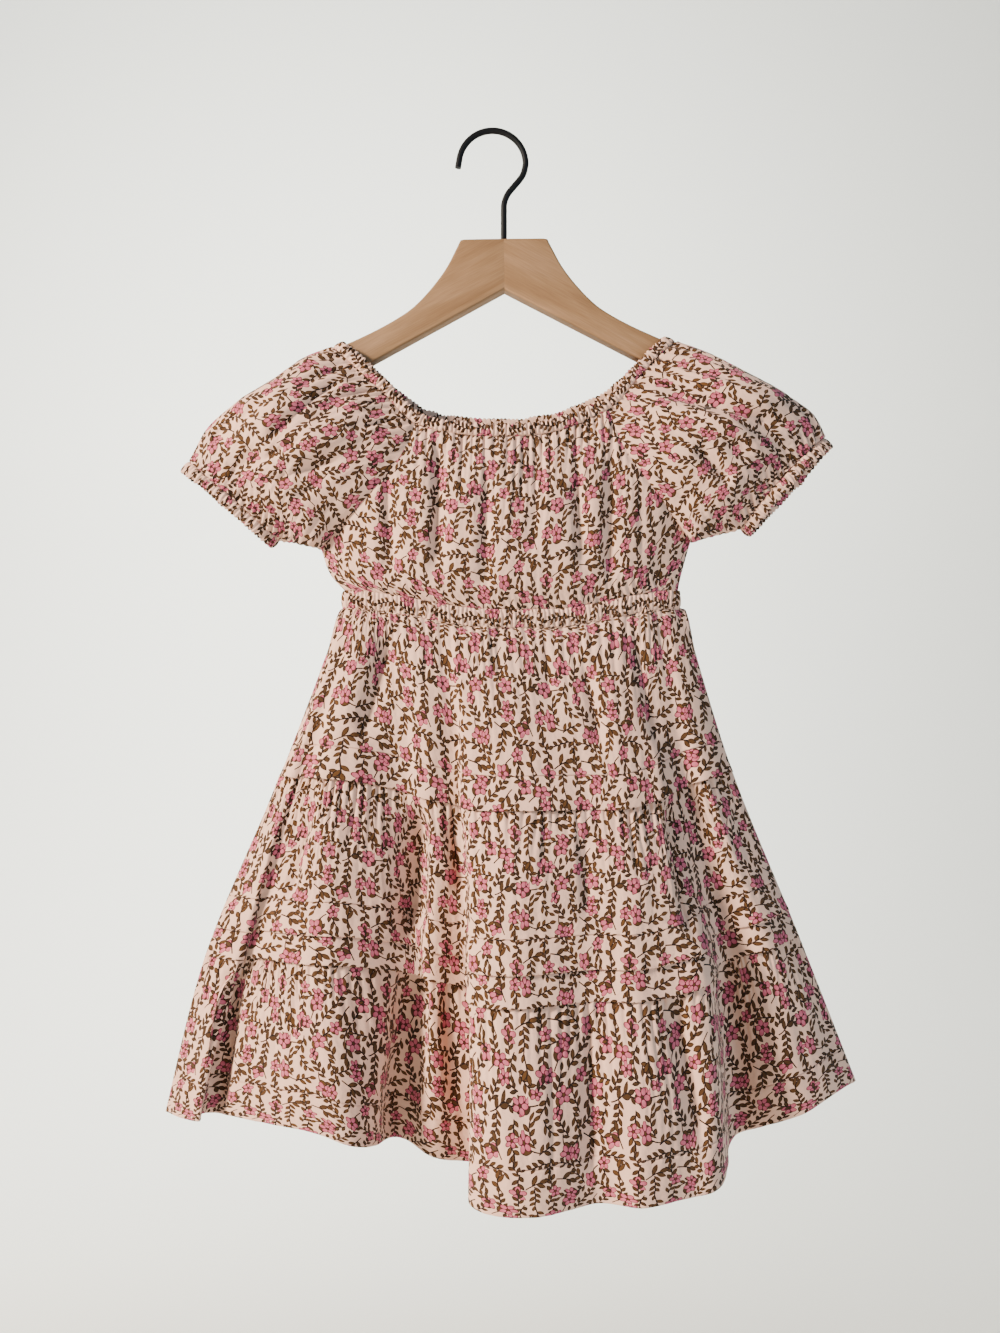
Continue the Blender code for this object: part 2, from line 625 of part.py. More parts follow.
def add_bodice(face, collection):
    """The front or back bodice, gathered at the neck and the waist."""
    front = face == "front"
    columns = FRONT_COLUMNS if front else BACK_COLUMNS
    v = [RAGLAN_SHARE * row for row in RAGLAN_ROWS] + [0.84, 0.94, 1.0]
    inset = 0.5 * SEAM_GAP / BODICE_NECK_WIDTH
    u_grid, v_grid = np.meshgrid(np.linspace(0.0, 1.0, columns + 1), v)
    points = bodice(face, mix(inset, 1.0 - inset, u_grid), v_grid)
    way = outward(points, False, front)
    sign = -1.0 if front else 1.0
    edge = np.abs(2.0 * u_grid - 1.0)[..., None] ** 12
    way = unit(mix(way, np.array((0.0, sign, 0.0)), edge))
    way[0] = without(way[0], (0.0, 0.0, 1.0))
    way[-1] = without(way[-1], (0.0, 0.0, 1.0))
    fade = np.exp(-v_grid / BODICE_FADE)
    free = np.sin(math.pi * u_grid) ** 0.3
    ripple = gathers(points, u_grid, columns, BODICE_GATHER)
    points += way * (free * fade * ripple)[..., None]
    points[..., 1] += sign * 0.5 * SEAM_GAP
    add_wall(f"{face}_bodice", points, points + way * CLOTH_THICK, collection)


def add_sleeve(side, collection):
    """A raglan puff sleeve: a sheet above the underarm and a tube below it."""
    columns = SLEEVE_COLUMNS
    v = np.array([UNDERARM_SHARE * row for row in RAGLAN_ROWS] + [0.9, 1.0])
    u_grid, v_grid = np.meshgrid(np.linspace(0.0, 1.0, columns + 1), v)
    above_arm = v_grid < UNDERARM_SHARE - 0.001
    inset = 0.5 * SEAM_GAP / SLEEVE_NECK_WIDTH * above_arm
    points = sleeve(side, mix(inset, 1.0 - inset, u_grid), v_grid)
    way = outward(points, False, side == "right")
    joined = unit(way[:, 0] + way[:, -1])
    edge = np.abs(2.0 * u_grid - 1.0)[..., None] ** 12
    face = np.where(u_grid < 0.5, -1.0, 1.0)
    way = unit(mix(way, stack(0.0, face, 0.0), edge))
    below = v > UNDERARM_SHARE - 0.001
    way[below, 0] = joined[below]
    way[below, -1] = joined[below]
    at_neck = mix(*SLEEVE_SPAN[side], u_grid[0])
    way[0] = without(way[0], neck(at_neck, 1.0) - neck(at_neck, 0.0))
    at_cuff = np.array(0.0)
    way[-1] = without(way[-1], cuff(side, at_cuff, 1.0) - cuff(side, at_cuff, 0.0))
    fade = np.exp(-v_grid / SLEEVE_FADE) + 1.3 * np.exp((v_grid - 1.0) / CUFF_FADE)
    free = np.sin(math.pi * u_grid) ** 0.5
    ripple = gathers(points, u_grid, columns, BODICE_GATHER)
    points += way * (free * fade * ripple)[..., None]
    joined_row = int(np.argmax(below))
    add_wall(f"sleeve_{side}", points, points + way * CLOTH_THICK, collection,
             joined_row=joined_row)


def add_ring(name, u, curve, depth, collection):
    """A gathered casing between a free edge and a seam; curve(u, run) gives it."""
    u_grid, run_grid = np.meshgrid(u, (0.0, depth))
    points = curve(u_grid, run_grid)
    way = outward(points, True, False)
    way = without(way, points[1] - points[0])
    share = np.broadcast_to(np.arange(len(u)) / len(u), u_grid.shape)
    ripple = gathers(points, share, len(u), CASING_RIPPLE)
    points = points + way * ripple[..., None]
    middle = np.mean(points, axis=(0, 1))
    if np.sum(way * (points - middle)) < 0.0:
        way = -way
    add_wall(name, points, points + way * CASING_THICK, collection, closed=True)


def steps(start, end, columns):
    """The starts of the columns between two places on a ring."""
    return np.linspace(start, end, columns, endpoint=False)


def waist_ring(f, run):
    """The waist casing's ring, f from 0 to 1 along its front and back to 0."""
    face = np.arange(f.shape[1]) < SKIRT_FRONT_COLUMNS
    return np.where(face[None, :, None], waist(f, -1.0, run), waist(f, 1.0, run))


def add_casings(collection):
    neck_u = np.concatenate((
        steps(*FRONT_SPAN, FRONT_COLUMNS),
        steps(*SLEEVE_SPAN["right"], SLEEVE_COLUMNS),
        steps(*BACK_SPAN[::-1], BACK_COLUMNS),
        steps(*SLEEVE_SPAN["left"][::-1], SLEEVE_COLUMNS)))
    add_ring("neck_casing", neck_u, neck, NECK_CASING_DEPTH, collection)
    waist_f = np.concatenate((steps(0.0, 1.0, SKIRT_FRONT_COLUMNS),
                              steps(1.0, 0.0, SKIRT_BACK_COLUMNS)))
    add_ring("waist_casing", waist_f, waist_ring, WAIST_CASING_DEPTH, collection)
    for side in ("left", "right"):
        add_ring(f"cuff_casing_{side}", steps(0.0, 1.0, SLEEVE_COLUMNS),
                 lambda u, run, side=side: cuff(side, u, run),
                 CUFF_CASING_DEPTH, collection)


def add_curve(name, collection):
    data = bpy.data.curves.new(name, "CURVE")
    thing = bpy.data.objects.new(name, data)
    collection.objects.link(thing)
    return thing


def mesh_from_curve(thing, finish, collection):
    """Turns a curve object into a mesh object with welded caps."""
    bpy.context.view_layer.update()
    evaluated = thing.evaluated_get(bpy.context.evaluated_depsgraph_get())
    mesh = bpy.data.meshes.new_from_object(evaluated)
    welded = bmesh.new()
    welded.from_mesh(mesh)
    bmesh.ops.remove_doubles(welded, verts=welded.verts, dist=0.00001)
    welded.to_mesh(mesh)
    welded.free()
    name, matrix = thing.name, thing.matrix_world.copy()
    bpy.data.objects.remove(thing)
    solid = add_object(name, mesh, finish, collection)
    solid.name = name
    solid.matrix_world = matrix
    mesh.shade_smooth()
    mesh.set_sharp_from_angle(angle=math.radians(35.0))
    return solid


def hanger_outline(out):
    """One arm's outline in x and z; out is 1 to the right and -1 to the left."""
    slope = math.tan(HANGER_SLOPE)
    cut = 0.5 * SEAM_GAP
    tip_low = HANGER_PEAK_Z - HANGER_HALF_SPAN * slope
    tip_high = tip_low + HANGER_TIP_RISE
    rows = [(cut, HANGER_PEAK_Z), (cut, HANGER_TOP_Z), *HANGER_SHOULDER]
    rows += [(HANGER_HALF_SPAN - 6.0, tip_high + 1.0), (HANGER_HALF_SPAN - 1.0, tip_high - 5.0),
             (HANGER_HALF_SPAN, tip_low + 5.0), (HANGER_HALF_SPAN - 5.0, tip_low + 3.0)]
    return [(out * x, z) for x, z in rows]


def add_hanger(collection, cutters):
    """Two wooden arms that meet in the middle round the hook's stem."""
    bpy.ops.mesh.primitive_cylinder_add(
        vertices=16, radius=(0.5 * WIRE_THICK + STEM_CLEARANCE) * MM,
        depth=2.0 * STEM_BORE_DEPTH * MM, location=(HANGER_X * MM, 0.0, HANGER_TOP_Z * MM))
    bore = bpy.context.object
    bore.name = "stem_bore"
    bore.hide_render = True
    bore.display_type = "WIRE"
    for held_in in bore.users_collection:
        held_in.objects.unlink(bore)
    cutters.objects.link(bore)
    for side, out in (("left", -1.0), ("right", 1.0)):
        arm = add_curve(f"hanger_arm_{side}", collection)
        arm.data.dimensions = "2D"
        arm.data.fill_mode = "BOTH"
        arm.data.extrude = (0.5 * HANGER_THICK - HANGER_EDGE) * MM
        arm.data.bevel_depth = HANGER_EDGE * MM
        arm.data.bevel_resolution = 1
        arm.data.offset = -HANGER_EDGE * MM
        outline = hanger_outline(out)
        spline = arm.data.splines.new("POLY")
        spline.points.add(len(outline) - 1)
        for point, (x, z) in zip(spline.points, outline):
            point.co = (x * MM, z * MM, 0.0, 1.0)
        spline.use_cyclic_u = True
        arm.location = ((HANGER_X + HANGER_TOP_Z * math.sin(HANGER_LEAN)) * MM, 0.0, 0.0)
        arm.rotation_euler = (math.pi / 2.0, -HANGER_LEAN, 0.0)
        solid = mesh_from_curve(arm, WOOD_FINISH, collection)
        cut = solid.modifiers.new("stem_bore", "BOOLEAN")
        cut.operation = "DIFFERENCE"
        cut.solver = "EXACT"
        cut.object = bore


def hook_route():
    """The wire's centreline: stem, neck bend and the hook's arc."""
    centre_z = 0.5 * WIRE_THICK - HOOK_RADIUS
    route = [(HANGER_X, HANGER_TOP_Z - STEM_BORE_DEPTH + SEAM_GAP), *HOOK_STEM]
    for i in range(HOOK_ARC_STEPS + 1):
        angle = mix(HOOK_START_ANGLE, HOOK_END_ANGLE, i / HOOK_ARC_STEPS)
        route.append((HOOK_CENTRE_X + HOOK_RADIUS * math.cos(angle),
                      centre_z + HOOK_RADIUS * math.sin(angle)))
    return route


def add_hook(collection):
    wire = add_curve("hanger_hook", collection)
    wire.data.dimensions = "3D"
    wire.data.bevel_depth = 0.5 * WIRE_THICK * MM
    wire.data.bevel_resolution = 2
    wire.data.use_fill_caps = True
    route = hook_route()
    spline = wire.data.splines.new("POLY")
    spline.points.add(len(route) - 1)
    for point, (x, z) in zip(spline.points, route):
        point.co = (x * MM, 0.0, z * MM, 1.0)
    mesh_from_curve(wire, WIRE_FINISH, collection)


def main():
    for thing in list(bpy.data.objects):
        bpy.data.objects.remove(thing)
    collection = bpy.data.collections.new(COLLECTION_NAME)
    cutters = bpy.data.collections.new("cutters")
    bpy.context.scene.collection.children.link(collection)
    bpy.context.scene.collection.children.link(cutters)
    add_bodice("front", collection)
    add_bodice("back", collection)
    for side in ("left", "right"):
        add_sleeve(side, collection)
    add_casings(collection)
    for tier in (1, 2, 3):
        add_tier(tier, "front", collection)
        add_tier(tier, "back", collection)
    add_hanger(collection, cutters)
    add_hook(collection)


main()
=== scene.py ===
"""The looks of a child's tiered cotton dress that hangs on a wooden hanger.

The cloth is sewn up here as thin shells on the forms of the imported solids,
with its gathers, tucks, hems, creases and stitches, and it is printed with
small flower sprays. Sizes and tables are in millimetres, and MM turns them
into metres. A cloth surface is a function of u, across or around the piece,
and v, down it, and every shell stands a height above that surface.
"""

import math

import bmesh
import bpy
import numpy as np
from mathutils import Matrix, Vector


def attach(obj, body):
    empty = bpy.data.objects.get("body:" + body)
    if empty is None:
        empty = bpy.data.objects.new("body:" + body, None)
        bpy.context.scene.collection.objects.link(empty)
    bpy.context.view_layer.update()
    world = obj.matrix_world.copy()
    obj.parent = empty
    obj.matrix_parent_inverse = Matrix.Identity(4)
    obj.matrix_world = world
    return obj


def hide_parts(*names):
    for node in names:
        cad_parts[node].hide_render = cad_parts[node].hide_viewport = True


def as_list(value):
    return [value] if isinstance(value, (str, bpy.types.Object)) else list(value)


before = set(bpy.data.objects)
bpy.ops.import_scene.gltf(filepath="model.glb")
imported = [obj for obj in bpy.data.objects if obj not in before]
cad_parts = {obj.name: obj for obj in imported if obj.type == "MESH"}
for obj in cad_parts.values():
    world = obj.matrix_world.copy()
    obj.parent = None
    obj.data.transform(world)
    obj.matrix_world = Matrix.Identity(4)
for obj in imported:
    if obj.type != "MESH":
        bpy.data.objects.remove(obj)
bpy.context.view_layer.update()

MM = 0.001
BODY = "root"

# The surfaces of the dress
TUCK_DEPTH = 19.0
TIER_DROP = 118.0
NECK_CASING_DEPTH = 7.5
CUFF_CASING_DEPTH = 8.0
WAIST_CASING_DEPTH = 12.0
SEAM_GAP = 0.3
NECK_KNOTS = (
    # name, x, y, z, run_x, run_z
    ("raglan_front_left", -48.3, -12, -190.1, -0.45, -0.89),
    ("front_left", -21.9, -14, -196.6, -0.12, -1.00),
    ("front_middle", 7, -15, -198.7, 0.00, -1.00),
    ("front_right", 40, -14, -195.1, 0.15, -1.00),
    ("raglan_front_right", 72.2, -12, -180.9, 0.50, -0.87),
    ("sleeve_front_right", 89.5, -11, -162.3, 0.70, -0.70),
    ("arm_front_right", 107.2, -9.5, -143.8, 0.80, -0.58),
    ("arm_corner_right", 112.4, -6.8, -139.9, 0.86, -0.50),
    ("shoulder_right", 114.4, 0, -138.5, 0.90, -0.44),
    ("arm_corner_back_right", 112.4, 6.8, -139.7, 0.86, -0.50),
    ("arm_back_right", 107.6, 9.5, -142.8, 0.80, -0.58),
    ("sleeve_back_right", 90.5, 11, -157.8, 0.70, -0.70),
    ("raglan_back_right", 71, 12, -172.4, 0.50, -0.87),
    ("back_right", 40, 12.5, -184.6, 0.15, -1.00),
    ("back_middle", 7, 13, -188.6, 0.00, -1.00),
    ("back_left", -21.9, 12.5, -187, -0.12, -1.00),
    ("raglan_back_left", -47, 12, -181.5, -0.45, -0.89),
    ("sleeve_back_left", -72, 11, -163, -0.70, -0.70),
    ("arm_back_left", -93, 9.5, -146.6, -0.80, -0.58),
    ("arm_corner_back_left", -97.8, 6.8, -143, -0.86, -0.50),
    ("shoulder_left", -99.8, 0, -141.6, -0.90, -0.44),
    ("arm_corner_left", -97.8, -6.8, -143.4, -0.86, -0.50),
    ("arm_front_left", -92.6, -9.5, -147.8, -0.80, -0.58),
    ("sleeve_front_left", -71, -11, -167.6, -0.70, -0.70),
)
NECK_SPANS = len(NECK_KNOTS)
FRONT_SPAN = (0.0, 4.0 / NECK_SPANS)
BACK_SPAN = (16.0 / NECK_SPANS, 12.0 / NECK_SPANS)
SLEEVE_SPAN = {
    "left": (1.0, 16.0 / NECK_SPANS),
    "right": (4.0 / NECK_SPANS, 12.0 / NECK_SPANS),
}
RAGLAN_KNOTS = {
    # (side, face): (x, y, z) upper, (x, y, z) lower
    ("left", "front"): ((-62, -17, -221), (-87, -14, -250)),
    ("right", "front"): ((86, -17, -214), (108, -14, -244)),
    ("left", "back"): ((-64, 12, -214), (-89, 10, -248)),
    ("right", "back"): ((88, 12, -207), (110, 10, -242)),
}
UNDERARM = {"left": (-115.5, 0.0, -278.0), "right": (132.0, 0.0, -273.5)}
BODICE_SIDE = {"left": (-109.5, 0.0, -295.0), "right": (126.0, 0.0, -295.0)}
RAGLAN_SHARE = 0.7
SLEEVE_TOP = {
    "left": ((-126, -152.2), (-148, -168), (-171.5, -182.5), (-190.5, -198.5)),
    "right": ((145, -150), (169, -163), (195, -177.5), (213, -190)),
}
UNDERARM_SHARE = 0.8
SLEEVE_PUFF_FRONT = 21.0
SLEEVE_PUFF_BACK = 13.0
CUFFS = {
    # side: x, z, half_width, along_x, along_z
    "left": (-173.7, -245.9, 38.4, 0.759, -0.651),
    "right": (193.5, -234.6, 39.5, -0.677, -0.736),
}
CUFF_TILT = {"left": 0.05, "right": 0.24}
CUFF_FRONT_DEPTH = 13.0
CUFF_BACK_DEPTH = 11.0
BODICE_DEPTHS = {
    "front": (15, 20, 22, 22, 20, 14),
    "back": (13, 14, 15, 15, 14, 11),
}
BODICE_SAG = 13.0
BACK_FOLD_TURN = 9.0 * math.pi
WAIST_LEFT = (-99.5, -306.5)
WAIST_RIGHT = (123.5, -306.5)
WAIST_DIP = 13.0
WAIST_FRONT_DEPTH = 13.0
WAIST_BACK_DEPTH = 11.0
LEVELS = (
    # name, left_x, left_z, right_x, right_z, front_sag, back_sag, sag_from
    ("waist", -100.5, -318.8, 127, -318.8, 13, 13, 0),
    ("tier_1_end", -142.5, -428.5, 160, -426, 20, 14, 0.10),
    ("tier_2_end", -193, -549, 204.5, -536, 22, 16, 0.20),
    ("hem", -221, -657, 243.5, -635.5, 40, 22, 0.20),
)
FOLDS = (
    # name, x at the 4 levels, y at the 4 levels
    ("left_side", (-100.5, -142.5, -193, -221), (0, 2, 3, 4)),
    ("lip_ridge", (-96, -133, -168, -194), (-5, -9, -12, -15)),
    ("lip_trough", (-90, -125, -161, -188), (-7, -9, -6, -2)),
    ("left_ridge", (-84, -103, -108, -96.5), (-10, -20, -30, -42)),
    ("left_trough", (-70, -61.5, -53.5, -60.5), (-8, -12, -10, -8)),
    ("left_swell", (-51.5, -41, -40, -38), (-12, -18, -15, -12)),
    ("edge_trough", (-35, -22, -15.5, -11), (-10, -16, -12, -9)),
    ("edge_ridge", (-20.5, -15, -12, -12), (-13, -28, -50, -64)),
    ("middle_ridge", (4.5, 14, 16.5, 25), (-14, -36, -62, -80)),
    ("middle_trough", (44, 62, 61.5, 63), (-12, -31, -52, -66)),
    ("right_ridge", (70, 84, 87.5, 91.5), (-13, -33, -57, -74)),
    ("right_dip", (89, 101, 111.5, 120.5), (-11, -27, -50, -64)),
    ("panel_edge", (97, 110.5, 134, 141), (-11, -24, -44, -58)),
    ("right_trough", (107, 126, 151, 162), (-7, -10, -10, -9)),
    ("far_ridge", (116, 140, 177.5, 203), (-6, -12, -18, -22)),
    ("right_side", (127, 160, 204.5, 243.5), (0, 2, 2, 2)),
)
BACK_DEPTHS = (11.0, 12.0, 13.0, 14.0)
BACK_WAVES = (0.0, 2.0, 3.0, 4.0)
BACK_WAVE_COUNT = 5.0
TIER_BLOUSE = 2.5
WAIST_BLEND = 0.35
BACK_FOLD_DEPTH = 2.0
BODICE_CREASES = (
    # x at the top, z, x at the bottom, z, depth, half width
    (-70, -228, -66, -308, 3.5, 7),
    (-35, -206, -37, -306, 4, 6),
    (-4, -225, -6, -318, 2, 6),
    (28, -206, 26, -290, 1.8, 5),
    (55, -230, 59, -300, 3.5, 6),
    (78, -208, 76, -312, 3.5, 6.5),
)
SLEEVE_CREASES = {
    "left": (
        (-150, -215, -90, -182, 4.5, 8),
        (-190, -212, -142, -182, 3.5, 6),
        (-132, -230, -74, -214, 4, 8),
        (-176, -232, -150, -215, 3, 5),
    ),
    "right": (
        (102, -172, 198, -204, 5, 8),
        (130, -214, 158, -238, 3.5, 6),
        (110, -200, 172, -222, 3, 7),
    ),
}

# Sharp small creases of each piece, with the same columns
SHARP_CREASES = {
    "front_bodice": (
        (-71, -214, -67, -300, 2.4, 3),
        (-35.5, -199, -37.5, -296, 3, 2.4),
        (-20, -200, -21, -250, 1.5, 2),
        (-4, -204, -5, -310, 2, 2.2),
        (20, -204, 18, -262, 1.5, 2),
        (54, -200, 57, -296, 2.7, 2.4),
        (76.5, -198, 76, -306, 2.7, 2.6),
        (95, -226, 98, -290, 1.5, 2.6),
    ),
    "tier_1_front": (
        (-67, -331, -87, -408, 3.9, 4),
        (-42, -336, -46, -376, 1.5, 2.4),
        (-23.6, -380, -23.6, -416, 1.8, 2.6),
        (2, -334, 4, -372, 1.4, 2.2),
        (34, -334, 37, -380, 1.5, 2.4),
        (60, -352, 71, -416, 2.5, 3.2),
        (93, -330, 108, -412, 3.6, 3.6),
    ),
    "tier_2_front": (
        (-121, -450, -136, -513, 3, 3.6),
        (-90, -446, -96, -482, 1.5, 2.6),
        (-50, -446, -56, -541, 2.7, 3.4),
        (-27, -446, -20, -512, 2.4, 3),
        (32, -450, 33, -486, 1.5, 2.6),
        (59, -458, 60, -520, 2.4, 3.4),
        (86, -448, 92, -486, 1.5, 2.6),
        (115, -438, 128, -532, 3.6, 4),
        (160, -448, 170, -490, 1.5, 3),
    ),
    "tier_3_front": (
        (-158, -560, -168, -612, 1.8, 3),
        (-126, -560, -130, -606, 1.5, 3),
        (-88, -566, -86, -620, 1.5, 3),
        (-54, -566, -62, -668, 2.7, 3.4),
        (-31, -566, -26, -650, 2.1, 3),
        (36, -590, 36, -676, 1.7, 3.4),
        (60, -562, 62, -676, 2.7, 3.4),
        (111, -552, 131, -660, 2.7, 3.6),
        (180, -552, 190, -596, 1.5, 3),
    ),
    "sleeve_left": (
        (-148, -213, -97, -166, 4.5, 3.2),
        (-166, -231, -117, -207, 3.6, 3),
        (-152, -239, -94, -221, 3.6, 3),
        (-190, -211, -163, -185, 2.8, 2.8),
        (-110, -184, -77, -174, 2.5, 2.2),
        (-96, -204, -63, -195, 2.5, 2.2),
        (-128, -176, -96, -158, 2.2, 2.5),
        (-130, -250, -106, -232, 2.5, 2.8),
    ),
    "sleeve_right": (
        (100, -174, 196, -203, 3.9, 3.2),
        (128, -212, 157, -240, 3.6, 3),
        (110, -196, 168, -219, 2.8, 2.8),
        (152, -196, 200, -217, 2.5, 2.8),
        (94, -190, 122, -207, 2.5, 2.2),
        (120, -160, 160, -172, 2.2, 2.5),
        (104, -228, 132, -254, 2.5, 2.8),
    ),
}

# Broad soft folds, with the same columns
DEEP_CREASES = {
    "tier_1_front": (
        (-66, -331, -87, -412, 2.5, 7),
        (60, -350, 71, -416, 2, 6),
        (93, -330, 108, -412, 2.5, 7),
    ),
    "tier_2_front": (
        (-124, -450, -136, -513, 3, 6),
        (-50, -440, -56, -545, 9.5, 8),
        (-27, -450, -20, -512, 2.5, 5),
        (59, -458, 60, -520, 2, 6),
        (114, -432, 127, -538, 4.5, 7),
    ),
    "tier_3_front": (
        (-170, -548, -186, -660, 8, 5.5),
        (-52, -540, -65, -690, 12, 9.5),
        (-32, -552, -24, -655, 2.5, 6),
        (60, -562, 62, -676, 3, 7),
        (111, -552, 131, -660, 4.5, 8),
        (150, -540, 164, -690, 4, 9),
    ),
}

# A back's creases are its front's, turned about this line and a little shallower
MIDDLE_X = 8.0
BACK_CREASE_SHARE = 0.8

# Fineness of the shells, and the small form on them
COLUMN_STEP = 0.95
ROW_STEP = 1.7
GATHER_HEIGHT = 1.8
GATHERS = {
    # seam: share of the height, step, reach
    "tier_top": (1.0, 6.4, 20.0),
    "bodice_top": (1.0, 5.2, 24.0),
    "bodice_bottom": (0.8, 4.6, 7.0),
    "sleeve_top": (1.1, 5.4, 20.0),
    "sleeve_bottom": (1.3, 5.0, 17.0),
}
WRINKLES = {"bodice": 1.0, "sleeve": 1.3}
FULLNESS = {
    # cut width over the form's: all over, more at the top and its reach, then the bottom's
    "bodice": (1.12, 0.30, 0.25, 0.12, 0.12),
    "sleeve": (1.08, 0.28, 0.2, 0.25, 0.15),
}
CASING_RIDGE_STEP = 2.9
CASING_STEPS = 6
HEM_DEPTH = 35.0
LIP = 2.2
STITCH_STEP = 2.9
STITCH_LENGTH = 2.1
STITCH_HALF_THICK = 0.22
STITCH_RISE = 0.1
CLOTH_HEIGHT = 0.35
TUCK_HEIGHT = 0.9
TUCK_EDGE_HEIGHT = 3.1
SIDE_SEAM_WIDTH = 3.5
CUT_ROWS = (0.35, 0.65)
TIER_SEED = 100
BODICE_SEED = 700
SLEEVE_SEED = 800
OTHER_SIDE_SEED = 50
NECK_SEED = 908
WAIST_SEED = 910
CUFF_SEED = 930

# Hanger and hook
HANGER_X = 7.0
HANGER_THICK = 11.0
HANGER_EDGE = 1.5
HANGER_TOP_Z = -72.3
HANGER_PEAK_Z = -105.5
HANGER_SLOPE = math.radians(28.4)
HANGER_HALF_SPAN = 134.0
HANGER_TIP_RISE = 20.0
HANGER_LEAN = math.radians(0.7)
HANGER_SHOULDER = (
    # x and z of an arm's upper edge, from the middle outwards
    (29.0, -73.0), (32.5, -80.0), (39.3, -92.4), (49.2, -105.3), (60.0, -116.4),
    (70.5, -123.8), (84.6, -131.6), (100.0, -138.8), (108.0, -142.3), (118.0, -148.8),
)
WIRE_THICK = 3.5
WIRE_COAT = 0.3
HOOK_RADIUS = 22.3
HOOK_CENTRE_X = -0.7
HOOK_ARC_STEPS = 64
HOOK_END_ANGLE = math.radians(170.0)
HOOK_END_LENGTH = 6.6
STEM_BORE_DEPTH = 15.0
HOOK_STEM = (
    # x and z of the wire from the wood up to the start of the hook's arc
    (7.0, -62.0), (7.0, -52.0), (7.3, -46.5), (9.5, -41.0), (13.4, -36.0),
    (17.2, -31.6), (20.2, -26.8),
)

# Camera, level with the middle of the dress, and the studio
CAMERA_PLACE = (4.4, -720.0, -357.2)
CAMERA_LENS = 29.02
CAMERA_SENSOR = 36.0
FLOOR_Z = -1250.0
SWEEP_FRONT = 3000.0
SWEEP_BACK = 2600.0
SWEEP_SIDE = 4500.0
SWEEP_HEIGHT = 4200.0
SWEEP_BEND = 1600.0


def smooth(t):
    """A step from 0 to 1 with no slope at its two ends."""
    t = np.clip(t, 0.0, 1.0)
    return t * t * (3.0 - 2.0 * t)


def mix(a, b, share):
    return a + (b - a) * share


def stack(x, y, z):
    return np.stack(np.broadcast_arrays(x, y, z), axis=-1)


def cubic(before, start, end, after, f):
    """A smooth curve from start to end that minds its two neighbours."""
    return 0.5 * (2 * start + (end - before) * f
                  + (2 * before - 5 * start + 4 * end - after) * f**2
                  + (3 * start - before - 3 * end + after) * f**3)


def through(knots, t):
    """A smooth curve through evenly spaced knots, for t from 0 to 1."""
    knots = np.asarray(knots, dtype=float)
    last = len(knots) - 1
    place = np.clip(t, 0.0, 1.0) * last
    i = np.minimum(place.astype(int), last - 1)
    f = place - i
    if knots.ndim == 2:
        f = f[..., None]
    neighbours = (np.maximum(i - 1, 0), i, i + 1, np.minimum(i + 2, last))
    return cubic(*(knots[n] for n in neighbours), f)


def around(knots, t):
    """A smooth closed curve through knots, for t from 0 to 1."""
    knots = np.asarray(knots, dtype=float)
    place = t * len(knots)
    i = np.floor(place).astype(int)
    f = (place - i)[..., None]
    return cubic(*(knots[(i + step) % len(knots)] for step in (-1, 0, 1, 2)), f)


def crease_depth(table, x, z, sharp=False):
    """How far the creases of a table press the cloth in at x, z."""
    depth = np.zeros_like(x)
    for x0, z0, x1, z1, deep, half_width in table:
        run_x, run_z = x1 - x0, z1 - z0
        length = math.hypot(run_x, run_z)
        along = ((x - x0) * run_x + (z - z0) * run_z) / length**2
        aside = ((x - x0) * run_z - (z - z0) * run_x) / length
        ends = smooth(along / 0.25) * smooth((1.0 - along) / 0.25)
        away = np.abs(aside / half_width)
        depth += deep * ends * np.exp(-away if sharp else -away**2)
    return depth


def creases(table, name):
    """A piece's rows of a table; a back has its front's, the other way round."""
    if name in table or "back" not in name:
        return table.get(name, ())
    return [(2.0 * MIDDLE_X - x0, z0, 2.0 * MIDDLE_X - x1, z1, BACK_CREASE_SHARE * deep, width)
            for x0, z0, x1, z1, deep, width in table.get(name.replace("back", "front"), ())]


def neck(t, run):
    """A point run mm from the neckline's free edge, towards the body."""
    knots = [row[1:] for row in NECK_KNOTS]
    values = around(knots, t)
    way = stack(values[..., 3], 0.0, values[..., 4])
    way /= np.linalg.norm(way, axis=-1, keepdims=True)
    return values[..., :3] + way * np.asarray(run)[..., None]


def neck_seam(t):
    return neck(t, np.full_like(t, NECK_CASING_DEPTH))


def raglan(side, face, t):
    """The raglan seam from the neck casing to the underarm."""
    corner = {"left": FRONT_SPAN[0], "right": FRONT_SPAN[1]}
    if face == "back":
        corner = {"left": BACK_SPAN[0], "right": BACK_SPAN[1]}
    start = neck_seam(np.array(corner[side]))
    return through([start, *RAGLAN_KNOTS[side, face], UNDERARM[side]], t)


def waist(f, sign, drop):
    """The waist at share f from left to right, drop mm under its top edge."""
    x = mix(WAIST_LEFT[0], WAIST_RIGHT[0], f)
    dip = WAIST_DIP * smooth(f / 0.45) * smooth((1.0 - f) / 0.4)
    z = mix(WAIST_LEFT[1], WAIST_RIGHT[1], f) - dip - drop
    depth = WAIST_FRONT_DEPTH if sign < 0 else WAIST_BACK_DEPTH
    y = sign * depth * np.sqrt(np.clip(4.0 * f * (1.0 - f), 0.0, 1.0))
    return stack(x, y, z)


def bodice_edge(side, face, v):
    """The raglan seam and then the side seam, from neck to waist."""
    seam = raglan(side, face, v / RAGLAN_SHARE)
    at_waist = waist(np.array(0.0 if side == "left" else 1.0), -1.0, 0.0)
    knots = [UNDERARM[side], BODICE_SIDE[side], at_waist]
    below = through(knots, (v - RAGLAN_SHARE) / (1.0 - RAGLAN_SHARE))
    return np.where((v < RAGLAN_SHARE)[..., None], seam, below)


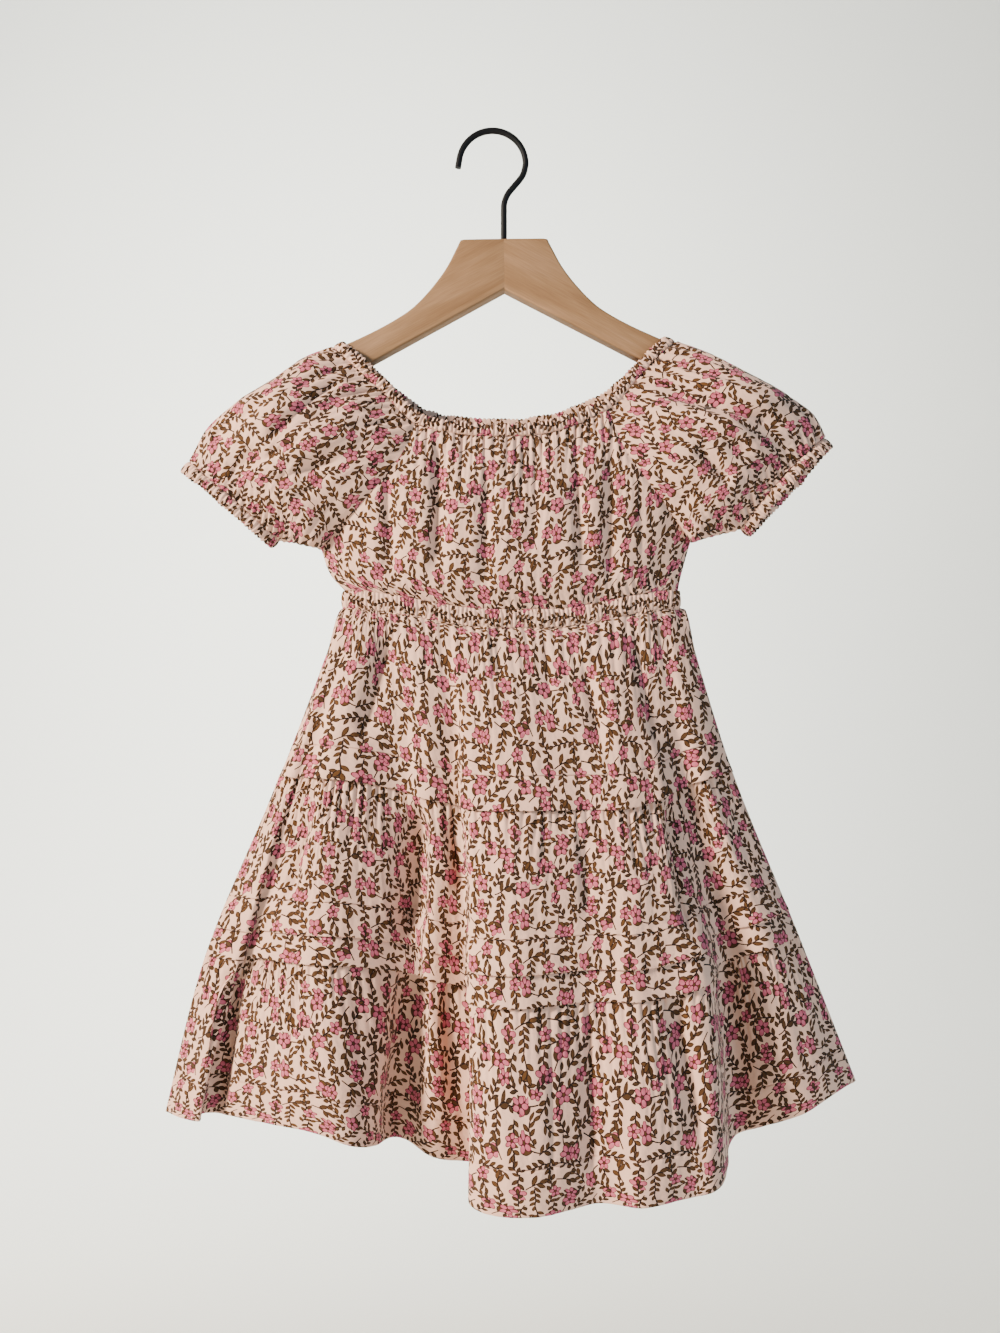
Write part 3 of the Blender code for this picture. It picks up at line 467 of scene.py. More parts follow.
def bodice(face, u, v):
    """A front or back bodice, u from left to right and v from neck to waist."""
    sign, span = (-1.0, FRONT_SPAN) if face == "front" else (1.0, BACK_SPAN)
    middle = BODICE_DEPTHS[face]

    def plain(v):
        left = bodice_edge("left", face, v)
        right = bodice_edge("right", face, v)
        point = mix(left, right, u[..., None])
        swell = 1.0 - np.abs(2.0 * u - 1.0) ** 3
        point[..., 1] = mix(point[..., 1], sign * through(middle, v), swell)
        point[..., 2] -= BODICE_SAG * (1.0 - np.abs(2.0 * u - 1.0) ** 2.5)
        return point

    top = neck_seam(mix(span[0], span[1], u))
    bottom = waist(u, sign, 0.0)
    point = plain(v)
    point += (top - plain(np.zeros_like(v))) * smooth(1.0 - 1.6 * v)[..., None]
    point += (bottom - plain(np.ones_like(v))) * smooth(4.0 * v - 3.0)[..., None]
    inside = 1.0 - np.abs(2.0 * u - 1.0) ** 4
    if face == "front":
        press = crease_depth(BODICE_CREASES, point[..., 0], point[..., 2])
    else:
        press = BACK_FOLD_DEPTH * np.sin(math.pi * v) * np.cos(BACK_FOLD_TURN * u)
    point[..., 1] -= sign * inside * press
    return point


def cuff(side, u, run):
    """The cuff's ring, u from the underarm over the front, run mm past its seam."""
    x, z, half_width, along_x, along_z = CUFFS[side]
    out = 1.0 if side == "right" else -1.0
    axis_x, axis_z = -out * along_z, out * along_x
    across = half_width * np.cos(2.0 * math.pi * u)
    lift = np.sin(2.0 * math.pi * u)
    y = -np.where(lift > 0.0, CUFF_FRONT_DEPTH, CUFF_BACK_DEPTH) * lift
    run = run + CUFF_TILT[side] * y
    return stack(x + across * along_x + run * axis_x, y,
                 z + across * along_z + run * axis_z)


def sleeve_edge(side, face, v):
    """The raglan seam and then the underarm seam, from neck to cuff."""
    seam = raglan(side, face, v / UNDERARM_SHARE)
    corner = cuff(side, np.array(0.0), 0.0)
    share = np.clip((v - UNDERARM_SHARE) / (1.0 - UNDERARM_SHARE), 0.0, 1.0)
    below = mix(np.array(UNDERARM[side]), corner, share[..., None])
    return np.where((v < UNDERARM_SHARE)[..., None], seam, below)


def sleeve_top(side, v):
    """The sleeve's highest line, from the shoulder to the cuff."""
    start = neck_seam(np.array(0.5 * sum(SLEEVE_SPAN[side])))
    end = cuff(side, np.array(0.5), 0.0)
    rows = [(x, 0.0, z) for x, z in SLEEVE_TOP[side]]
    return through([start, *rows, end], v)


def sleeve(side, u, v):
    """A sleeve, u from the front seam over the top, v from neck to cuff."""
    front = u < 0.5
    w = np.where(front, 2.0 * u, 2.0 - 2.0 * u)

    def plain(v):
        edge = np.where(front[..., None], sleeve_edge(side, "front", v),
                        sleeve_edge(side, "back", v))
        top = sleeve_top(side, v)
        closed = smooth(v / UNDERARM_SHARE * 3.0 - 2.0)
        open_share = np.sin(0.5 * math.pi * w)
        tube_share = 0.5 - 0.5 * np.cos(math.pi * w)
        point = mix(edge, top, mix(open_share, tube_share, closed)[..., None])
        open_y = mix(edge[..., 1], top[..., 1], 1.0 - np.cos(0.5 * math.pi * w))
        point[..., 1] = mix(open_y, point[..., 1], closed)
        puff = np.where(front, -SLEEVE_PUFF_FRONT, SLEEVE_PUFF_BACK)
        fullness = mix(0.45, 1.0, smooth(v / 0.6))
        point[..., 1] += puff * fullness * np.sin(math.pi * w) ** 0.75
        return point

    top = neck_seam(mix(*SLEEVE_SPAN[side], u))
    bottom = cuff(side, u, np.zeros_like(u))
    point = plain(v)
    point += (top - plain(np.zeros_like(v))) * smooth(1.0 - 1.8 * v)[..., None]
    point += (bottom - plain(np.ones_like(v))) * smooth(3.0 * v - 2.0)[..., None]
    press = crease_depth(SLEEVE_CREASES[side], point[..., 0], point[..., 2])
    press *= np.sin(math.pi * w)
    point[..., 1] += np.where(front, press, -0.6 * press)
    return point


def level_values(column, level):
    """A column of LEVELS at a level from 0, the waist, to 3, the hem."""
    return through([row[column] for row in LEVELS], level / 3.0)


def skirt_z(x, level, face):
    left_x, right_x = level_values(1, level), level_values(3, level)
    f = np.clip((x - left_x) / (right_x - left_x), 0.0, 1.0)
    line = mix(level_values(2, level), level_values(4, level), f)
    sag = level_values(5 if face == "front" else 6, level)
    start = level_values(7, level)
    return line - sag * smooth((f - start) / (0.47 - start)) * smooth((1.0 - f) / 0.27)


def skirt(face, u, level):
    """The skirt's front or back, u from left to right, level from 0 to 3."""
    if face == "front":
        x = fold_curve([through(row[1], level / 3.0) for row in FOLDS], u)
        y = fold_curve([through(row[2], level / 3.0) for row in FOLDS], u)
        sign = -1.0
    else:
        x = mix(level_values(1, level), level_values(3, level), u)
        y_side = mix(through(FOLDS[0][2], level / 3.0),
                     through(FOLDS[-1][2], level / 3.0), u)
        depth = through(BACK_DEPTHS, level / 3.0)
        wave = through(BACK_WAVES, level / 3.0)
        bow = 1.0 - np.abs(2.0 * u - 1.0) ** 4
        turn = 2.0 * math.pi * (BACK_WAVE_COUNT * u + 0.35 * np.sin(5.0 * u))
        y = y_side + bow * (depth + wave * np.cos(turn))
        sign = 1.0
    f = (x - WAIST_LEFT[0]) / (WAIST_RIGHT[0] - WAIST_LEFT[0])
    at_waist = waist(np.clip(f, 0.0, 1.0), sign, WAIST_CASING_DEPTH)
    below = smooth(level / WAIST_BLEND)
    y = mix(at_waist[..., 1], y, below)
    z = mix(at_waist[..., 2], skirt_z(x, level, face), below)
    in_tier = level - np.floor(np.minimum(level, 2.999))
    open_edge = np.sqrt(np.clip(4.0 * u * (1.0 - u), 0.0, 1.0))
    y = y + sign * TIER_BLOUSE * np.sin(math.pi * in_tier) * open_edge
    return stack(x, y, z)


def fold_curve(lines, u):
    """A smooth curve across the fold lines, which are evenly spaced in u."""
    lines = np.stack(lines)
    last = len(lines) - 1
    place = np.clip(u, 0.0, 1.0) * last
    i = np.minimum(place.astype(int), last - 1)
    rows, columns = np.indices(i.shape)
    neighbours = (np.maximum(i - 1, 0), i, i + 1, np.minimum(i + 2, last))
    return cubic(*(lines[n, rows, columns] for n in neighbours), place - i)


def unit(vectors):
    return vectors / np.maximum(np.linalg.norm(vectors, axis=-1, keepdims=True), 1e-9)


def outward(points, flip):
    """The way out of the cloth at each point of a grid."""
    down = np.gradient(points, axis=0)
    across = np.gradient(points, axis=1)
    way = unit(np.cross(across, down))
    return -way if flip else way


def hills(x, y, seed):
    """Smooth random hills from -1 to 1, one to each unit of x and y."""
    size = 64
    heights = np.random.default_rng(seed).uniform(-1.0, 1.0, (size, size))
    x, y = np.broadcast_arrays(x, y)
    i, j = np.floor(x).astype(int), np.floor(y).astype(int)
    fx, fy = smooth(x - i), smooth(y - j)
    low = mix(heights[i % size, j % size], heights[(i + 1) % size, j % size], fx)
    high = mix(heights[i % size, (j + 1) % size],
               heights[(i + 1) % size, (j + 1) % size], fx)
    return mix(low, high, fy)


def lengths(points, axis):
    """How far each point of a grid lies along its row or column."""
    steps = np.linalg.norm(np.diff(points, axis=axis), axis=-1)
    start = np.zeros_like(np.take(steps, [0], axis=axis))
    return np.cumsum(np.concatenate((start, steps), axis=axis), axis=axis)


def even(curve, step):
    """Shares from 0 to 1 that space the points of curve(shares) evenly."""
    shares = np.linspace(0.0, 1.0, 2001)
    along = np.mean(lengths(curve(shares[None, :]), 1), axis=0)
    count = max(8, round(along[-1] / step))
    return np.interp(np.linspace(0.0, along[-1], count + 1), along, shares)


def pleats(phase):
    """Round ridges with narrow valleys between them, one to each unit."""
    return 0.45 - (1.0 - np.abs(np.sin(math.pi * phase))) ** 1.4


def gather_relief(seam, s, down, seed):
    """Uneven small gathers, s mm along their seam and down mm from it."""
    share, step, reach = GATHERS[seam]
    phase = s / step + 0.75 * hills(s / 19.0, down / 60.0, seed)
    reaches = reach * (1.6 + 1.2 * hills(s / 8.0, 0.0 * down, seed + 1))
    deep = pleats(phase) * np.exp(-(down / reaches) ** 1.3)
    fine_phase = 1.8 * phase + 0.8 * hills(s / 11.0, down / 40.0, seed + 2)
    fine = pleats(fine_phase) * np.exp(-down / (0.4 * reach))
    uneven = 1.0 + 0.4 * hills(s / 14.0, 0.0 * down, seed + 3)
    return share * (GATHER_HEIGHT * uneven * (deep + 0.5 * fine))


def soft_relief(s, down, seed):
    """Low wrinkles that run down the cloth, and a slight unevenness."""
    drift = 6.0 * hills(s / 70.0, down / 50.0, seed + 5)
    return (0.85 * hills((s + drift) / 15.0, down / 62.0, seed + 6)
            + 0.30 * hills((s + drift) / 6.0, down / 26.0, seed + 7)
            + 0.12 * hills(s / 4.0, down / 5.0, seed + 8))


def edge_fade(s, width):
    """0 at the two side seams, where the cloth meets its neighbour, then 1."""
    room = np.minimum(s, np.max(s, axis=-1, keepdims=True) - s)
    return smooth(room / width)


def new_object(name, data):
    thing = bpy.data.objects.new(name, data)
    bpy.context.scene.collection.objects.link(thing)
    return thing


def new_mesh(name, points, faces, material):
    """A smooth mesh from rows of points in mm and rows of their indices."""
    mesh = bpy.data.meshes.new(name)
    mesh.from_pydata((points * MM).tolist(), [], faces.tolist())
    mesh.shade_smooth()
    mesh.materials.append(material)
    return mesh


def place_piece(piece, node):
    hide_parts(node)
    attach(piece, BODY)
    return piece


def grid_corners(grid):
    """The four corners of each cell of a grid, in turn."""
    return [grid[:-1, :-1], grid[:-1, 1:], grid[1:, 1:], grid[1:, :-1]]


def add_cloth(name, points, flat, node, flip, joined_row=None):
    """A thin shell of cloth from a grid of points, laid out flat in flat.

    From its joined_row down, the last column is sewn to the first.
    """
    rows, columns = points.shape[:2]
    index = np.arange(rows * columns).reshape(rows, columns)
    if joined_row is not None:
        index[joined_row:, -1] = index[joined_row:, 0]
    corners, cuts = grid_corners(index), grid_corners(flat)
    if flip:
        corners, cuts = corners[::-1], cuts[::-1]
    quads = np.stack(corners, axis=-1).reshape(-1, 4)
    used, quads = np.unique(quads, return_inverse=True)
    mesh = new_mesh(name, points.reshape(-1, 3)[used], quads.reshape(-1, 4), COTTON)
    layer = mesh.uv_layers.new(name="cut")
    layer.data.foreach_set("uv", (np.stack(cuts, axis=2) * MM).ravel())
    return place_piece(new_object(name, mesh), node)


def cut_size(flat):
    """Width and length of a flat layout, and its area, in metres."""
    width, length = np.ptp(flat[..., 0]) * MM, np.ptp(flat[..., 1]) * MM
    across = np.linalg.norm(np.diff(flat, axis=1), axis=-1)
    down = np.linalg.norm(np.diff(flat, axis=0), axis=-1)
    area = np.sum(0.5 * (across[1:] + across[:-1]) * 0.5 * (down[:, 1:] + down[:, :-1]))
    return (width, length), min(area * MM * MM, width * length)


def tier_path(tier):
    """Rows down a tier: share of its drop, height over its form, and the
    depth of its gathers there, with the tucks folded as they are sewn."""
    tuck = TUCK_DEPTH / TIER_DROP
    lip = LIP / TIER_DROP
    hair = 0.5 / TIER_DROP
    step = ROW_STEP / TIER_DROP

    def run(start, end, low, high):
        count = max(2, round(abs(end - start) / step))
        return list(zip(np.linspace(start, end, count), np.linspace(low, high, count)))

    def tuck_rows(top, bottom, emerge):
        rows = [(top - 3.0 * hair, 0.6), (top - hair, 1.0), (top - 0.3 * hair, 0.8)]
        rows += [(top, -0.25), (top + 0.7 * hair, 0.4)]
        rows += run(top + 2.0 * hair, bottom - hair, TUCK_HEIGHT, TUCK_EDGE_HEIGHT)
        rows += [(bottom, TUCK_EDGE_HEIGHT - 0.2), (bottom, TUCK_HEIGHT + 0.35)]
        rows += [(mix(top, bottom, 0.6), 0.95), (top + 5.0 * hair, 0.75)]
        rows += [(top + 5.0 * hair, 0.50), (mix(top, bottom, 0.6), 0.45)]
        return rows + [(emerge, CLOTH_HEIGHT)]

    if tier == 1:
        top = 1.0 - tuck
        rows = run(0.0, top - 6.0 * hair, CLOTH_HEIGHT, CLOTH_HEIGHT)
        return rows + tuck_rows(top, 1.0 + lip, 1.0 + hair)
    if tier == 2:
        top, middle = 1.0 - 2.0 * tuck, 1.0 - tuck
        rows = run(0.0, top - 6.0 * hair, CLOTH_HEIGHT, CLOTH_HEIGHT)
        rows += tuck_rows(top, middle + lip, middle - 4.0 * hair)
        return rows + tuck_rows(middle, 1.0 + lip, 1.0 + hair)
    hem = HEM_DEPTH / TIER_DROP
    rows = run(0.0, 1.0 - hem - 3.0 * hair, 0.45, 0.6)
    rows += [(1.0 - hem - hair, 0.75), (1.0 - hem, -0.05), (1.0 - hem + 0.7 * hair, 0.5)]
    rows += run(1.0 - hem + 2.0 * hair, 1.0 - hair, 0.75, 0.85)
    rows += [(1.0, 0.6), (1.0, 0.25), (1.0 - hair, 0.05)]
    return rows + run(1.0 - 0.1 * hem, 1.0 - hem, 0.05, 0.05)[::6]


# How far above a tier's lower edge its tucks and its hem are stitched
TUCK_SEAMS = {1: (TUCK_DEPTH,), 2: (2.0 * TUCK_DEPTH, TUCK_DEPTH), 3: (HEM_DEPTH,)}


def add_tier(tier, face):
    """One tier of the skirt's front or back, with its tucks or its hem."""
    name = f"tier_{tier}_{face}"
    front = face == "front"
    path = np.array(tier_path(tier))
    middles = tier - np.array([1.0, 0.6, 0.3, 0.0])[:, None]
    u = even(lambda shares: skirt(face, *np.broadcast_arrays(shares, middles)), COLUMN_STEP)
    u_grid, v_grid = np.meshgrid(u, path[:, 0])
    level = np.minimum(tier - 1.0 + v_grid, 3.0)
    base = skirt(face, u_grid, level)
    # The folded rows take their way out from the plain form at their level
    plain_v = np.linspace(0.0, 1.0, 60)
    plain = skirt(face, *np.broadcast_arrays(u[None, :], tier - 1.0 + plain_v[:, None]))
    plain_way = outward(plain, front)
    place = np.clip(v_grid, 0.0, 1.0) * (len(plain_v) - 1)
    i = np.minimum(place.astype(int), len(plain_v) - 2)
    j = np.indices(i.shape)[1]
    way = unit(mix(plain_way[i, j], plain_way[i + 1, j], (place - i)[..., None]))

    s = np.broadcast_to(lengths(plain[-1:], 1), u_grid.shape)
    down = np.clip(v_grid, 0.0, 1.0) * TIER_DROP
    seed = TIER_SEED * tier + (0 if front else OTHER_SIDE_SEED)
    relief = gather_relief("tier_top", s, down, seed) + soft_relief(s, down, seed)
    for seam in TUCK_SEAMS[tier]:
        away = np.abs(down - (TIER_DROP - seam))
        relief = relief + 0.45 * hills(s / 2.6, down / 9.0, seed + 30) * np.exp(-away / 5.0)
    sharp, deep = creases(SHARP_CREASES, name), creases(DEEP_CREASES, name)
    relief = relief - crease_depth(sharp, base[..., 0], base[..., 2], sharp=True)
    relief = relief - crease_depth(deep, base[..., 0], base[..., 2])
    height = path[:, 1][:, None] + relief
    height = height * smooth((down + 1.0) / 3.0)
    points = base + way * (height * edge_fade(s, 4.0))[..., None]
    fall = np.abs(np.diff(path[:, 0])) * TIER_DROP
    rise = np.abs(np.diff(path[:, 1]))
    length = np.concatenate(([0.0], np.cumsum(np.hypot(fall, rise))))
    # The cut's width is taken along the folds and creases of its middle rows
    middle = (path[:, 0] > CUT_ROWS[0]) & (path[:, 0] < CUT_ROWS[1])
    cut = np.mean(lengths(points[middle], 1), axis=0)
    cut *= max(1.0, s[0, -1] / cut[-1])
    flat = np.stack(np.broadcast_arrays(cut, -length[:, None]), axis=-1)
    piece = add_cloth(name + "_cloth", points, flat, name, front)
    seams = [1.0 - seam / TIER_DROP for seam in TUCK_SEAMS[tier]]
    rows = [int(np.argmax(path[:, 0] > seam - 1e-6)) for seam in seams]
    lines = [(points[row, 3:-3], way[row, 3:-3]) for row in rows]
    return piece, flat, lines


def add_gathered(kind, name, base, way, seed, flip, joined=None):
    """A piece gathered at its top and bottom, on the form base with its ways out.

    Where rows are joined, the piece's two sides are sewn to each other.
    """
    s = lengths(base, 1)
    middle_s = s - 0.5 * s[:, -1:]
    down = lengths(base, 0)
    total = np.max(down, axis=0, keepdims=True)
    relief = gather_relief(f"{kind}_top", middle_s, down, seed)
    relief += gather_relief(f"{kind}_bottom", middle_s, total - down, seed + 20)
    relief += WRINKLES[kind] * soft_relief(middle_s, down, seed + 40)
    sharp = creases(SHARP_CREASES, name)
    relief -= crease_depth(sharp, base[..., 0], base[..., 2], sharp=True)
    fade = edge_fade(s, SIDE_SEAM_WIDTH)
    if joined is not None:
        fade = np.where(joined[:, None], smooth(0.25 + fade), fade)
    # At its two gathered ends, where it meets its neighbours, it has its form alone
    fade = fade * smooth((down + 0.8) / 2.4) * smooth((total - down + 0.8) / 2.4)
    points = base + way * ((0.4 + relief) * fade)[..., None]
    share = down / total
    level, top, top_reach, bottom, bottom_reach = FULLNESS[kind]
    fullness = (level + top * np.exp(-share / top_reach)
                + bottom * np.exp((share - 1.0) / bottom_reach))
    flat = np.stack((middle_s * fullness, -down), axis=-1)
    joined_row = None if joined is None else int(np.argmax(joined))
    piece = add_cloth(name + "_cloth", points, flat, name, flip, joined_row)
    return piece, flat, []


def add_bodice(face):
    """The front or back bodice, gathered at the neck and the waist."""
    name = f"{face}_bodice"
    front = face == "front"
    v = even(lambda t: bodice(face, np.full((1, 1), 0.5) + 0.0 * t, t), ROW_STEP * 0.8)
    rows = np.array([0.15, 0.5, 0.9])[:, None]
    u = even(lambda t: bodice(face, *np.broadcast_arrays(t, rows)), 0.9)
    u_grid, v_grid = np.meshgrid(u, v)
    base = bodice(face, u_grid, v_grid)
    way = outward(base, front)
    sign = -1.0 if front else 1.0
    edge = np.abs(2.0 * u_grid - 1.0)[..., None] ** 12
    way = unit(mix(way, np.array((0.0, sign, 0.0)), edge))
    seed = BODICE_SEED + (0 if front else OTHER_SIDE_SEED)
    return add_gathered("bodice", name, base, way, seed, front)


def add_sleeve(side):
    """A raglan puff sleeve, gathered at the neck and at the cuff."""
    name = f"sleeve_{side}"
    flip = side == "right"
    v = np.linspace(0.0, 1.0, 121)
    rows = np.array([0.3, 0.6, 0.9])[:, None]
    u = even(lambda t: sleeve(side, *np.broadcast_arrays(t, rows)), 1.3)
    u = np.unique(np.concatenate((u[u < 0.4995], [0.5], u[u > 0.5005])))
    u_grid, v_grid = np.meshgrid(u, v)
    base = sleeve(side, u_grid, v_grid)
    way = outward(base, flip)
    joined = v > UNDERARM_SHARE - 0.001
    seam_way = unit(way[:, 0] + way[:, -1])
    edge = np.abs(2.0 * u_grid - 1.0)[..., None] ** 12
    face = np.where(u_grid < 0.5, -1.0, 1.0)
    way = unit(mix(way, stack(0.0, face, 0.0), edge * ~joined[:, None, None]))
    way[joined, 0] = seam_way[joined]
    way[joined, -1] = seam_way[joined]
    seed = SLEEVE_SEED + (OTHER_SIDE_SEED if flip else 0)
    return add_gathered("sleeve", name, base, way, seed, flip, joined)


def casing_profile(both_seams):
    """Rows round a casing's section: share of its depth, and height."""
    if both_seams:
        return ((-0.02, 0.1), (0.0, 0.9), (0.06, 1.5), (0.2, 1.95), (0.4, 2.1), (0.6, 2.1),
                (0.8, 1.95), (0.94, 1.5), (1.0, 0.9), (1.02, 0.1))
    return ((1.03, 0.2), (1.0, 0.8), (0.92, 1.5), (0.75, 1.95), (0.5, 2.15), (0.25, 1.95),
            (0.10, 1.6), (0.02, 1.1), (0.0, 0.6), (0.03, 0.15), (0.3, -0.05), (0.8, -0.05))


def add_casing(name, curve, depth, seed, both_seams=False):
    """A gathered elastic casing round a closed seam, curve(shares, run).

    Its seed also shifts its cut, and so its print.
    """
    shares = np.linspace(0.0, 1.0, 2001)[None, :]
    along = lengths(curve(shares, np.full_like(shares, 0.5 * depth)), 1)[0]
    ridges = round(along[-1] / CASING_RIDGE_STEP)
    count = ridges * CASING_STEPS
    s = np.linspace(0.0, along[-1], count + 1)
    t = np.interp(s, along, shares[0])
    profile = np.array(casing_profile(both_seams))
    t_grid, run_grid = np.meshgrid(t, profile[:, 0] * depth)
    seam_fade = smooth(s / 20.0) * smooth((s[-1] - s) / 20.0)
    wander = 0.42 * hills(s / 17.0, 0.0 * s, seed) * seam_fade
    turn = s / s[-1] * ridges + wander + 0.12 * hills(s / 5.0, 0.0 * s, seed + 1)
    turn[-1] = turn[0] + ridges
    lean = 0.35 * hills(s[None, :] / 12.0, run_grid / 5.0, seed + 2)
    ridge = np.abs(np.cos(math.pi * (turn[None, :] + lean)))
    ridge = mix(ridge, ridge[:, :1], smooth((s - s[-1] + 4.0) / 4.0)[None, :])
    edge_row = curve(t_grid[:2], np.stack((0.0 * t, 0.0 * t + depth)))
    across = np.roll(edge_row[0, :-1], -1, axis=0) - np.roll(edge_row[0, :-1], 1, axis=0)
    across = np.concatenate((across, across[:1]))
    way = unit(np.cross(across, edge_row[1] - edge_row[0]))
    centre = np.mean(edge_row[0], axis=0)
    if np.sum(way * (edge_row[0] - centre)) < 0.0:
        way = -way
    height = profile[:, 1][:, None]
    lift = smooth(height / 1.2) * (1.1 * ridge - 0.65)
    lift = lift * (1.0 + 0.35 * hills(s / 6.0, 0.0 * s, seed + 3))
    lift = lift + 0.5 * hills(s / 9.0, 0.0 * s, seed + 5) * seam_fade * smooth(height)
    free = np.exp(-np.abs(run_grid) / 2.0) * (0.0 if both_seams else 1.0)
    frill = 1.1 * (ridge - 0.5) + 0.9 * hills(s / 7.0, 0.0 * s, seed + 4) * seam_fade
    base = curve(t_grid, run_grid - free * frill)
    points = base + way[None] * (height + lift)[..., None]
    points[:, -1] = points[:, 0]
    steps = np.hypot(np.diff(profile[:, 0]) * depth, np.diff(profile[:, 1]))
    length = np.concatenate(([0.0], np.cumsum(steps)))
    flat = np.stack(np.broadcast_arrays(1.45 * s[None, :], seed - length[:, None]), axis=-1)
    down = edge_row[1, 0] - edge_row[0, 0]
    turned = np.sum(np.cross(across[0], down) * way[0]) < 0.0
    if not both_seams:
        turned = not turned
    piece = add_cloth(name + "_cloth", points, flat, name, bool(turned), joined_row=0)
    rows = (3, 6) if both_seams else (2,)
    return piece, flat, [(points[row], way) for row in rows]


def on_line(values, along, where):
    """Values whose places along a line are known, taken at other places on it."""
    return np.stack([np.interp(where, along, column) for column in values.T], axis=-1)


def add_stitches(name, lines):
    """Rows of thread stitches along lines of points with their ways out."""
    corners = []
    for points, way in lines:
        along = lengths(points[None], 1)[0]
        starts = np.arange(1.0, along[-1] - STITCH_LENGTH, STITCH_STEP)
        start = on_line(points, along, starts)
        end = on_line(points, along, starts + STITCH_LENGTH)
        up = unit(on_line(way, along, starts + 0.5 * STITCH_LENGTH))
        aside = unit(np.cross(up, end - start)) * STITCH_HALF_THICK
        middle = 0.5 * (start + end) + STITCH_RISE * up
        corners.append(np.stack((start - STITCH_RISE * up, end - STITCH_RISE * up,
                                 middle + aside, middle + STITCH_HALF_THICK * up,
                                 middle - aside, middle - 2.0 * STITCH_RISE * up), axis=1))
    corners = np.concatenate(corners)
    faces = np.array(((0, 2, 3), (0, 3, 4), (0, 4, 5), (0, 5, 2),
                      (1, 3, 2), (1, 4, 3), (1, 5, 4), (1, 2, 5)))
    faces = faces[None] + 6 * np.arange(len(corners))[:, None, None]
    mesh = new_mesh(name, corners.reshape(-1, 3), faces.reshape(-1, 3), THREAD)
    piece = new_object(name, mesh)
    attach(piece, BODY)


def waist_ring(t, run):
    """The waist casing's ring, t from 0 to 0.5 along its front, then its back."""
    front = t < 0.5
    f = np.where(front, 2.0 * t, 2.0 - 2.0 * t)
    return np.where(front[..., None], waist(f, -1.0, run), waist(f, 1.0, run))


class Nodes:
    """Short ways to add shader nodes to a node tree."""

    def __init__(self, tree):
        self.tree = tree

    def add(self, kind, inputs=(), **settings):
        node = self.tree.nodes.new("ShaderNode" + kind)
        for key, value in settings.items():
            setattr(node, key, value)
        for slot, value in dict(inputs).items():
            if isinstance(value, bpy.types.NodeSocket):
                self.tree.links.new(value, node.inputs[slot])
            else:
                node.inputs[slot].default_value = value
        return node

    def math(self, operation, *values):
        return self.add("Math", enumerate(values), operation=operation).outputs[0]

    def times(self, first, second, *added):
        """A product, and one more value added to it if that is given."""
        return self.math("MULTIPLY_ADD" if added else "MULTIPLY", first, second, *added)

    def minus(self, first, second):
        return self.math("SUBTRACT", first, second)

    def vector(self, operation, *values):
        node = self.add("VectorMath", enumerate(values), operation=operation)
        return node.outputs["Value" if operation == "LENGTH" else "Vector"]

    def split(self, vector):
        return self.add("SeparateXYZ", {0: vector}).outputs[:2]

    def blend(self, share, first, second):
        slots = {0: share, 6: first, 7: second}
        return self.add("Mix", slots, data_type="RGBA").outputs[2]

    def inside(self, distance, edge=0.0):
        """1 where a distance is below edge."""
        return self.math("LESS_THAN", distance, edge)

    def noise(self, place, size, scale, detail, **inputs):
        """Noise of a scale, at a place that is first stretched by size."""
        if size is not None:
            place = self.vector("MULTIPLY", place, size)
        inputs = {"Vector": place, "Scale": scale, "Detail": detail, **inputs}
        return self.add("TexNoise", inputs).outputs[0]

    def span(self, value, low, high):
        """A value from 0 to 1 spread from low to high."""
        return self.add("MapRange", {0: value, 3: low, 4: high}).outputs[0]

    def scale(self, vector, share):
        inputs = {0: vector, "Scale": share}
        return self.add("VectorMath", inputs, operation="SCALE").outputs[0]

    def bump(self, height, strength, distance, **inputs):
        inputs = {"Strength": strength, "Distance": distance, "Height": height, **inputs}
        return self.add("Bump", inputs).outputs[0]


def new_material(name, constants):
    """A material, a way to add nodes to it, and its shader with constants set."""
    material = bpy.data.materials.new(name)
    material.use_nodes = True
    n = Nodes(material.node_tree)
    shader = n.tree.nodes["Principled BSDF"]
    for slot, value in constants.items():
        shader.inputs[slot].default_value = value
    return material, n, shader


def link_surface(n, shader, colour, normal, rough=None):
    """Gives a shader what varies over its surface."""
    n.tree.links.new(colour, shader.inputs["Base Color"])
    n.tree.links.new(normal, shader.inputs["Normal"])
    if rough is not None:
        n.tree.links.new(rough, shader.inputs["Roughness"])


# The print: a square repeat of cells, with a sprig in each. A sprig's stem runs
# along its x, with leaves in pairs, and in some a flower sits at its far end.
PRINT_CELL = 20.5
PRINT_REPEAT = 4
PRINT_JITTER = 2.0
LEAF_ANGLE = math.radians(43.0)
SPRIGS = (
    # shift, seed, leaf pitch, middle and reach of the leaf pairs, leaf length,
    # half width, stem's start and end, flower's radius, share with a flower
    ((0.0, 0.0), 1.0, 4.3, -0.5, 0.6, 5.9, 1.32, -6.5, 4.5, 5.6, 0.55),
    ((0.5, 0.5), 2.0, 4.2, -1.0, 1.1, 5.5, 1.24, -8.0, 4.5, 4.0, 0.35),
    ((0.5, 0.0), 3.0, 5.6, 0.0, 0.1, 7.2, 1.58, -6.0, 3.5, 5.4, 0.30),
    ((0.0, 0.5), 4.0, 4.1, -0.5, 0.6, 5.2, 1.20, -5.5, 4.0, 4.4, 0.45),
)
LEAF_SHORTEST = 0.74
LEAF_UNEVEN = 0.34
STEM_HALF_WIDTH = 0.4
LEAF_OUTLINE = 0.52
PETAL_OUTLINE = 0.46
PETAL_TURN = 0.4 * math.pi
FAR_AWAY = 50.0
GROUND = (0.62, 0.375, 0.278, 1.0)
GROUND_SHADE = (0.592, 0.35, 0.256, 1.0)
INK_BROWN = (0.008, 0.003, 0.0018, 1.0)
LEAF_OLIVE = (0.031, 0.013, 0.004, 1.0)
